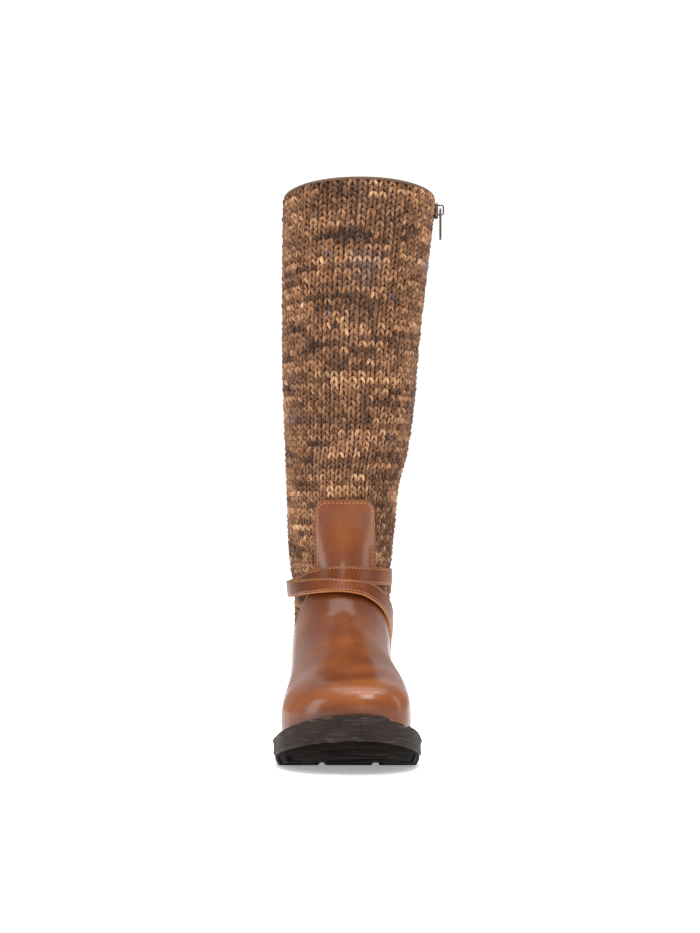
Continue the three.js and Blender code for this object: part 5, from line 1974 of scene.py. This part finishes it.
@dataclass
class LuggedSole:
    """Midsole band, lugged tread and heel block, and the insole over them."""

    stations: int = 330
    across: int = 92
    lug_pitch: float = 17.5
    lug_rows: int = 8
    channel: float = 5.0
    edge_lug: float = 22.5
    edge_angle: float = 16.0
    middle_channel: float = 41.0
    middle_angle: float = 12.0
    first_channel: float = 66.0
    long_channel: float = 0.34
    long_at: float = 0.68
    long_middle: float = 3.0
    long_apart: float = 36.0
    long_splay: float = 3.0
    heel_channel: float = 26.0
    heel_starts: tuple = (15.0, 33.0)
    heel_aside: float = 32.0
    heel_angle: float = 10.0
    under_band: float = 0.1
    # height share, inset and edge mark, from the bottom up
    BAND_SIDE = np.array([
        [0.0, 0.9, 0.6], [0.03, 0.35, 0.9], [0.1, 0.0, 0.5], [0.2, 0.05, 0.1], [0.3, 0.22, 0.0],
        [0.42, 0.3, 0.0], [0.5, 0.22, 0.0], [0.6, 0.3, 0.0], [0.7, 0.2, 0.1], [0.78, 0.2, 0.4],
        [0.82, -0.35, 0.8], [0.88, -0.5, 0.5], [0.94, -0.45, 0.9], [0.985, -0.1, 1.0], [1.0, 0.5, 0.8],
    ])
    TREAD_SIDE = np.array([
        [0.0, 4.2, 0.9], [0.06, 3.6, 0.8], [0.25, 2.8, 0.2], [0.45, 2.0, 0.1], [0.7, 1.5, 0.0],
        [0.95, 1.25, 0.0], [1.0, 1.5, 0.0],
    ])
    HEEL_SIDE = np.array([
        [0.0, 2.9, 0.9], [0.03, 2.3, 1.0], [0.12, 1.7, 0.5], [0.18, 2.0, 0.1], [0.35, 1.8, 0.0],
        [0.55, 1.5, 0.0], [0.75, 1.2, 0.0], [0.94, 0.9, 0.1], [1.0, 1.3, 0.0],
    ])

    def shares(self) -> Array:
        """Places along the sole, closer together round the heel and the toe."""
        t = np.linspace(0, 1, self.stations)
        return 0.2 * t + 0.4 * (1 - np.cos(np.pi * t))

    def slab(self, side: Array, bottom: object, top: object, groove: object, across: int) -> Surface:
        """A layer of the sole: at each place along it one closed loop of points.

        The loop runs over the bottom, up the inner side by the side's rows of height share and inset,
        back over the top and down the outer side. `groove` lifts the bottom where a channel runs.

        Args:
            side: Rows of height share, inset and edge mark, from the bottom up.
            bottom: Height of the bottom as a function of y.
            top: Height of the top as a function of y.
            groove: Depth of the channels as a function of x and y.
            across: Points across the bottom.

        Returns:
            A closed surface with the attributes level and edge.
        """
        shares = self.shares()
        outer, inner = [], []
        for share, inset, _ in side:
            left, right, y = SOLE.sides(inset, shares)
            z = lerp(bottom(y), top(y), share)
            outer.append(np.stack([left, y, z], -1))
            inner.append(np.stack([right, y, z], -1))
        outer, inner = np.stack(outer, 1), np.stack(inner, 1)
        k = np.linspace(0, 1, across)[None, :, None]
        under = lerp(outer[:, :1], inner[:, :1], k)
        over = lerp(inner[:, -1:], outer[:, -1:], np.linspace(0, 1, 12)[None, :, None])
        lift = groove(under[..., 0], under[..., 1])
        under[..., 2] += lift
        for edge, column in ((outer, 0), (inner, -1)):
            rise = lift[:, column, None]
            room = np.maximum(outer[:, -1:, 2] - outer[:, :1, 2], 0.1)
            edge[..., 2] += rise * np.clip(1 - (edge[..., 2] - edge[:, :1, 2]) / room, 0, 1)
        loop = np.concatenate([under[:, 1:-1], inner, over[:, 1:-1], outer[:, ::-1]], 1)
        level = np.concatenate([np.zeros(across - 2), side[:, 0], np.ones(10), side[::-1, 0]])
        mark = np.concatenate([np.full(across - 2, 0.35), side[:, 2], np.full(10, 0.2), side[::-1, 2]])
        shape = loop.shape[:2]
        return lofted(loop, {"level": np.broadcast_to(level, shape), "edge": np.broadcast_to(mark, shape)})

    def bar(self, x: Array, y: Array, cx: float, cy: float, length: float, degrees: float) -> Array:
        """How deep a channel is: a turned bar with soft sides a millimetre wide.

        Args:
            x: Places across the sole.
            y: Places along it.
            cx: X of the bar's middle.
            cy: Y of its middle.
            length: Its length.
            degrees: Its angle from the X axis.

        Returns:
            From 0 to 1.
        """
        a = np.radians(degrees)
        u = (x - cx) * np.cos(a) + (y - cy) * np.sin(a)
        v = -(x - cx) * np.sin(a) + (y - cy) * np.cos(a)
        return ease((self.channel / 2 + 0.4 - np.abs(v)) / 0.8) * ease((length / 2 + 0.4 - np.abs(u)) / 0.8)

    def tread_channels(self, x: Array, y: Array) -> Array:
        """The tread's channels: slanted from each edge, cross bars in the middle, two long ones.

        Args:
            x: Places across the sole.
            y: Places along it.

        Returns:
            Depths.
        """
        depth = np.zeros(np.shape(x))
        first = SIZE.sole_back - SIZE.heel_length - self.first_channel
        for i in range(self.lug_rows):
            at = first - i * self.lug_pitch
            middle = SIZE.toe_apex * max(0.0, float(along(at)) - 0.3)
            slant = self.middle_angle * (1 if i % 2 else -1)
            for cx, cy, length, angle in (
                (-SIZE.sole_width / 2, at, 2 * self.edge_lug, -self.edge_angle),
                (SIZE.sole_width / 2 + middle, at + self.channel, 2 * self.edge_lug, self.edge_angle),
                (middle, at - self.lug_pitch / 2, self.middle_channel, slant),
            ):
                depth = np.maximum(depth, self.bar(x, y, cx, cy, length, angle))
        length = SIZE.sole_length * self.long_channel
        for hand in (-1, 1):
            cx = self.long_middle + hand * self.long_apart / 2
            bar = self.bar(x, y, cx, y_at(self.long_at), length, hand * self.long_splay + 90.0)
            depth = np.maximum(depth, bar)
        return depth * SIZE.lug_depth

    def heel_channels(self, x: Array, y: Array) -> Array:
        """The heel's four channels, two from each side.

        Args:
            x: Places across the heel.
            y: Places along it.

        Returns:
            Depths.
        """
        depth = np.zeros(np.shape(x))
        front = SIZE.sole_back - SIZE.heel_length
        for hand in (-1, 1):
            for start in self.heel_starts:
                bar = self.bar(x, y, hand * self.heel_aside, front + start, self.heel_channel,
                               hand * self.heel_angle)
                depth = np.maximum(depth, bar)
        return depth * SIZE.lug_depth

    def build(self, finishes: Finishes) -> None:
        """Builds the layers and dresses the insole."""
        def none(x: Array, y: Array) -> Array:
            """No channels."""
            return np.zeros(np.shape(x))

        def below_band(y: Array) -> Array:
            """Top of the tread and the heel, just under the midsole."""
            return SOLE.band_bottom(y) - self.under_band

        def below_upper(y: Array) -> Array:
            """Top of the midsole, a gap under the upper."""
            return SOLE.seat(y) - SIZE.gap

        midsole = self.slab(self.BAND_SIDE, SOLE.band_bottom, below_upper, none, 14)
        make_piece("band_midsole", midsole, finishes.band, Slot.RUBBER, ("midsole",))
        breast = SIZE.sole_back - SIZE.heel_length
        tread = self.slab(self.TREAD_SIDE, SOLE.tread_bottom, below_band, self.tread_channels, self.across)
        tread = self.cut(tread, breast - SIZE.gap, False)
        make_piece("tread_sole", tread, finishes.tread, Slot.RUBBER, ("outsole",))
        heel = self.slab(self.HEEL_SIDE, lambda y: 0 * y, below_band, self.heel_channels, 60)
        make_piece("heel_block", self.cut(heel, breast, True), finishes.tread, Slot.RUBBER, ("heel",))
        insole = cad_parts["insole"]
        insole.data.materials.clear()
        insole.data.materials.append(finishes.lining)

    def cut(self, slab: Surface, breast: float, back: bool) -> Surface:
        """Keeps the slab behind or ahead of the heel's front face.

        The rings past the face are folded onto it, so the body ends in a flat, square face.

        Args:
            slab: A lofted slab.
            breast: Y of the face.
            back: Whether the part behind the face is kept.

        Returns:
            The kept body.
        """
        size = (len(slab.points) - 2) // self.stations
        rings = slab.points[:-2].reshape(self.stations, size, 3)
        keep = rings[..., 1].mean(1) > breast if back else rings[..., 1].mean(1) < breast
        kept = rings[keep].copy()
        end = -1 if back else 0
        kept[end, :, 1] = breast
        values = {k: v[:-2].reshape(self.stations, size)[keep] for k, v in slab.values.items()}
        return lofted(kept, values)


@dataclass
class Studio:
    """Camera, soft lights, white surroundings and a pale floor."""

    distance: float = 2.1
    eye: float = 0.22
    aside: float = 0.004
    focal: float = 103.7
    rise: float = -6.5 / 933
    # name, place, aim, the two sides and watts
    LAMPS = (
        ("overhead", (0.0, -0.3, 2.6), (0.0, -0.05, 0.1), (2.4, 2.4), 50.0),
        ("left_strip", (-1.6, -0.9, 0.5), (0.0, -0.05, 0.2), (0.6, 1.6), 17.0),
        ("right_strip", (1.6, -0.5, 0.6), (0.0, -0.05, 0.2), (0.5, 1.6), 10.0),
        ("front_lamp", (0.06, -1.75, 1.7), (0.0, -0.2, 0.05), (0.34, 1.1), 22.0),
        ("crest_lamp", (0.05, -0.6, 2.2), (0.0, -0.2, 0.05), (1.2, 0.16), 11.0),
    )

    def camera(self) -> None:
        """A level camera ahead of the toe, at the photograph's height."""
        data = bpy.data.cameras.new("camera")
        data.sensor_width, data.lens, data.shift_y = 36.0, self.focal, self.rise
        camera = bpy.data.objects.new("camera", data)
        camera.location = (self.aside, -self.distance, self.eye)
        camera.rotation_euler = (np.pi / 2, 0.0, 0.0)
        bpy.context.scene.collection.objects.link(camera)
        bpy.context.scene.camera = camera

    def light(self, name: str, place: tuple, aim: tuple, size: tuple, power: float) -> None:
        """A soft box at a place, aimed at a point.

        Args:
            name: Its name.
            place: Where it hangs.
            aim: What it points at.
            size: Its two sides.
            power: In watts.
        """
        data = bpy.data.lights.new(name, "AREA")
        data.shape, data.size, data.size_y, data.energy = "RECTANGLE", size[0], size[1], power
        lamp = bpy.data.objects.new(name, data)
        lamp.location = place
        direction = Vector(aim) - Vector(place)
        lamp.rotation_euler = direction.to_track_quat("-Z", "Y").to_euler()
        bpy.context.scene.collection.objects.link(lamp)

    def floor(self) -> None:
        """A large pale floor, level with the tread, that glows more the farther it is from the boot."""
        mesh = bpy.data.meshes.new("floor")
        mesh.from_pydata([(-6, -6, 0), (6, -6, 0), (6, 6, 0), (-6, 6, 0)], [], [(0, 1, 2, 3)])
        floor = bpy.data.objects.new("floor", mesh)
        bpy.context.scene.collection.objects.link(floor)
        pale = bpy.data.materials.new("pale_floor")
        pale.use_nodes = True
        shader = pale.node_tree.nodes["Principled BSDF"]
        shader.inputs["Base Color"].default_value = (0.93, 0.93, 0.93, 1.0)
        shader.inputs["Roughness"].default_value = 0.9
        shader.inputs["Specular IOR Level"].default_value = 0.1
        shader.inputs["Emission Color"].default_value = (1.0, 1.0, 1.0, 1.0)
        graph = Graph(pale.node_tree)
        place = graph.add("ShaderNodeTexCoord").outputs["Object"]
        reach = graph.add("ShaderNodeVectorMath", {"operation": "LENGTH"}, Vector=place).outputs["Value"]
        graph.tree.links.new(graph.spread(reach, 0.2, 1.3, 0.34, 0.85), shader.inputs["Emission Strength"])
        mesh.materials.append(pale)

    def build(self) -> None:
        """Builds the studio."""
        self.camera()
        self.floor()
        for lamp in self.LAMPS:
            self.light(*lamp)
        world = bpy.data.worlds.new("white_surroundings")
        world.use_nodes = True
        world.node_tree.nodes["Background"].inputs["Color"].default_value = (1.0, 1.0, 1.0, 1.0)
        graph = Graph(world.node_tree)
        seen = graph.add("ShaderNodeLightPath").outputs["Is Camera Ray"]
        strength = graph.spread(seen, 0.0, 1.0, 0.62, 1.15)
        graph.tree.links.new(strength, graph.tree.nodes["Background"].inputs["Strength"])
        bpy.context.scene.world = world
        bpy.context.scene.view_settings.view_transform = "Standard"


def main() -> None:
    """Builds the boot from the sole up, then the studio."""
    finishes = Finishes()
    LuggedSole().build(finishes)
    KnitShaft().build(finishes)
    LeatherFoot().build(finishes)
    AnkleStraps().build(finishes)
    SideZip().build(finishes)
    CollarBinding().build(finishes)
    Studio().build()
    bpy.context.view_layer.update()


if __name__ == "__main__":
    logging.basicConfig(level=logging.INFO)
    main()
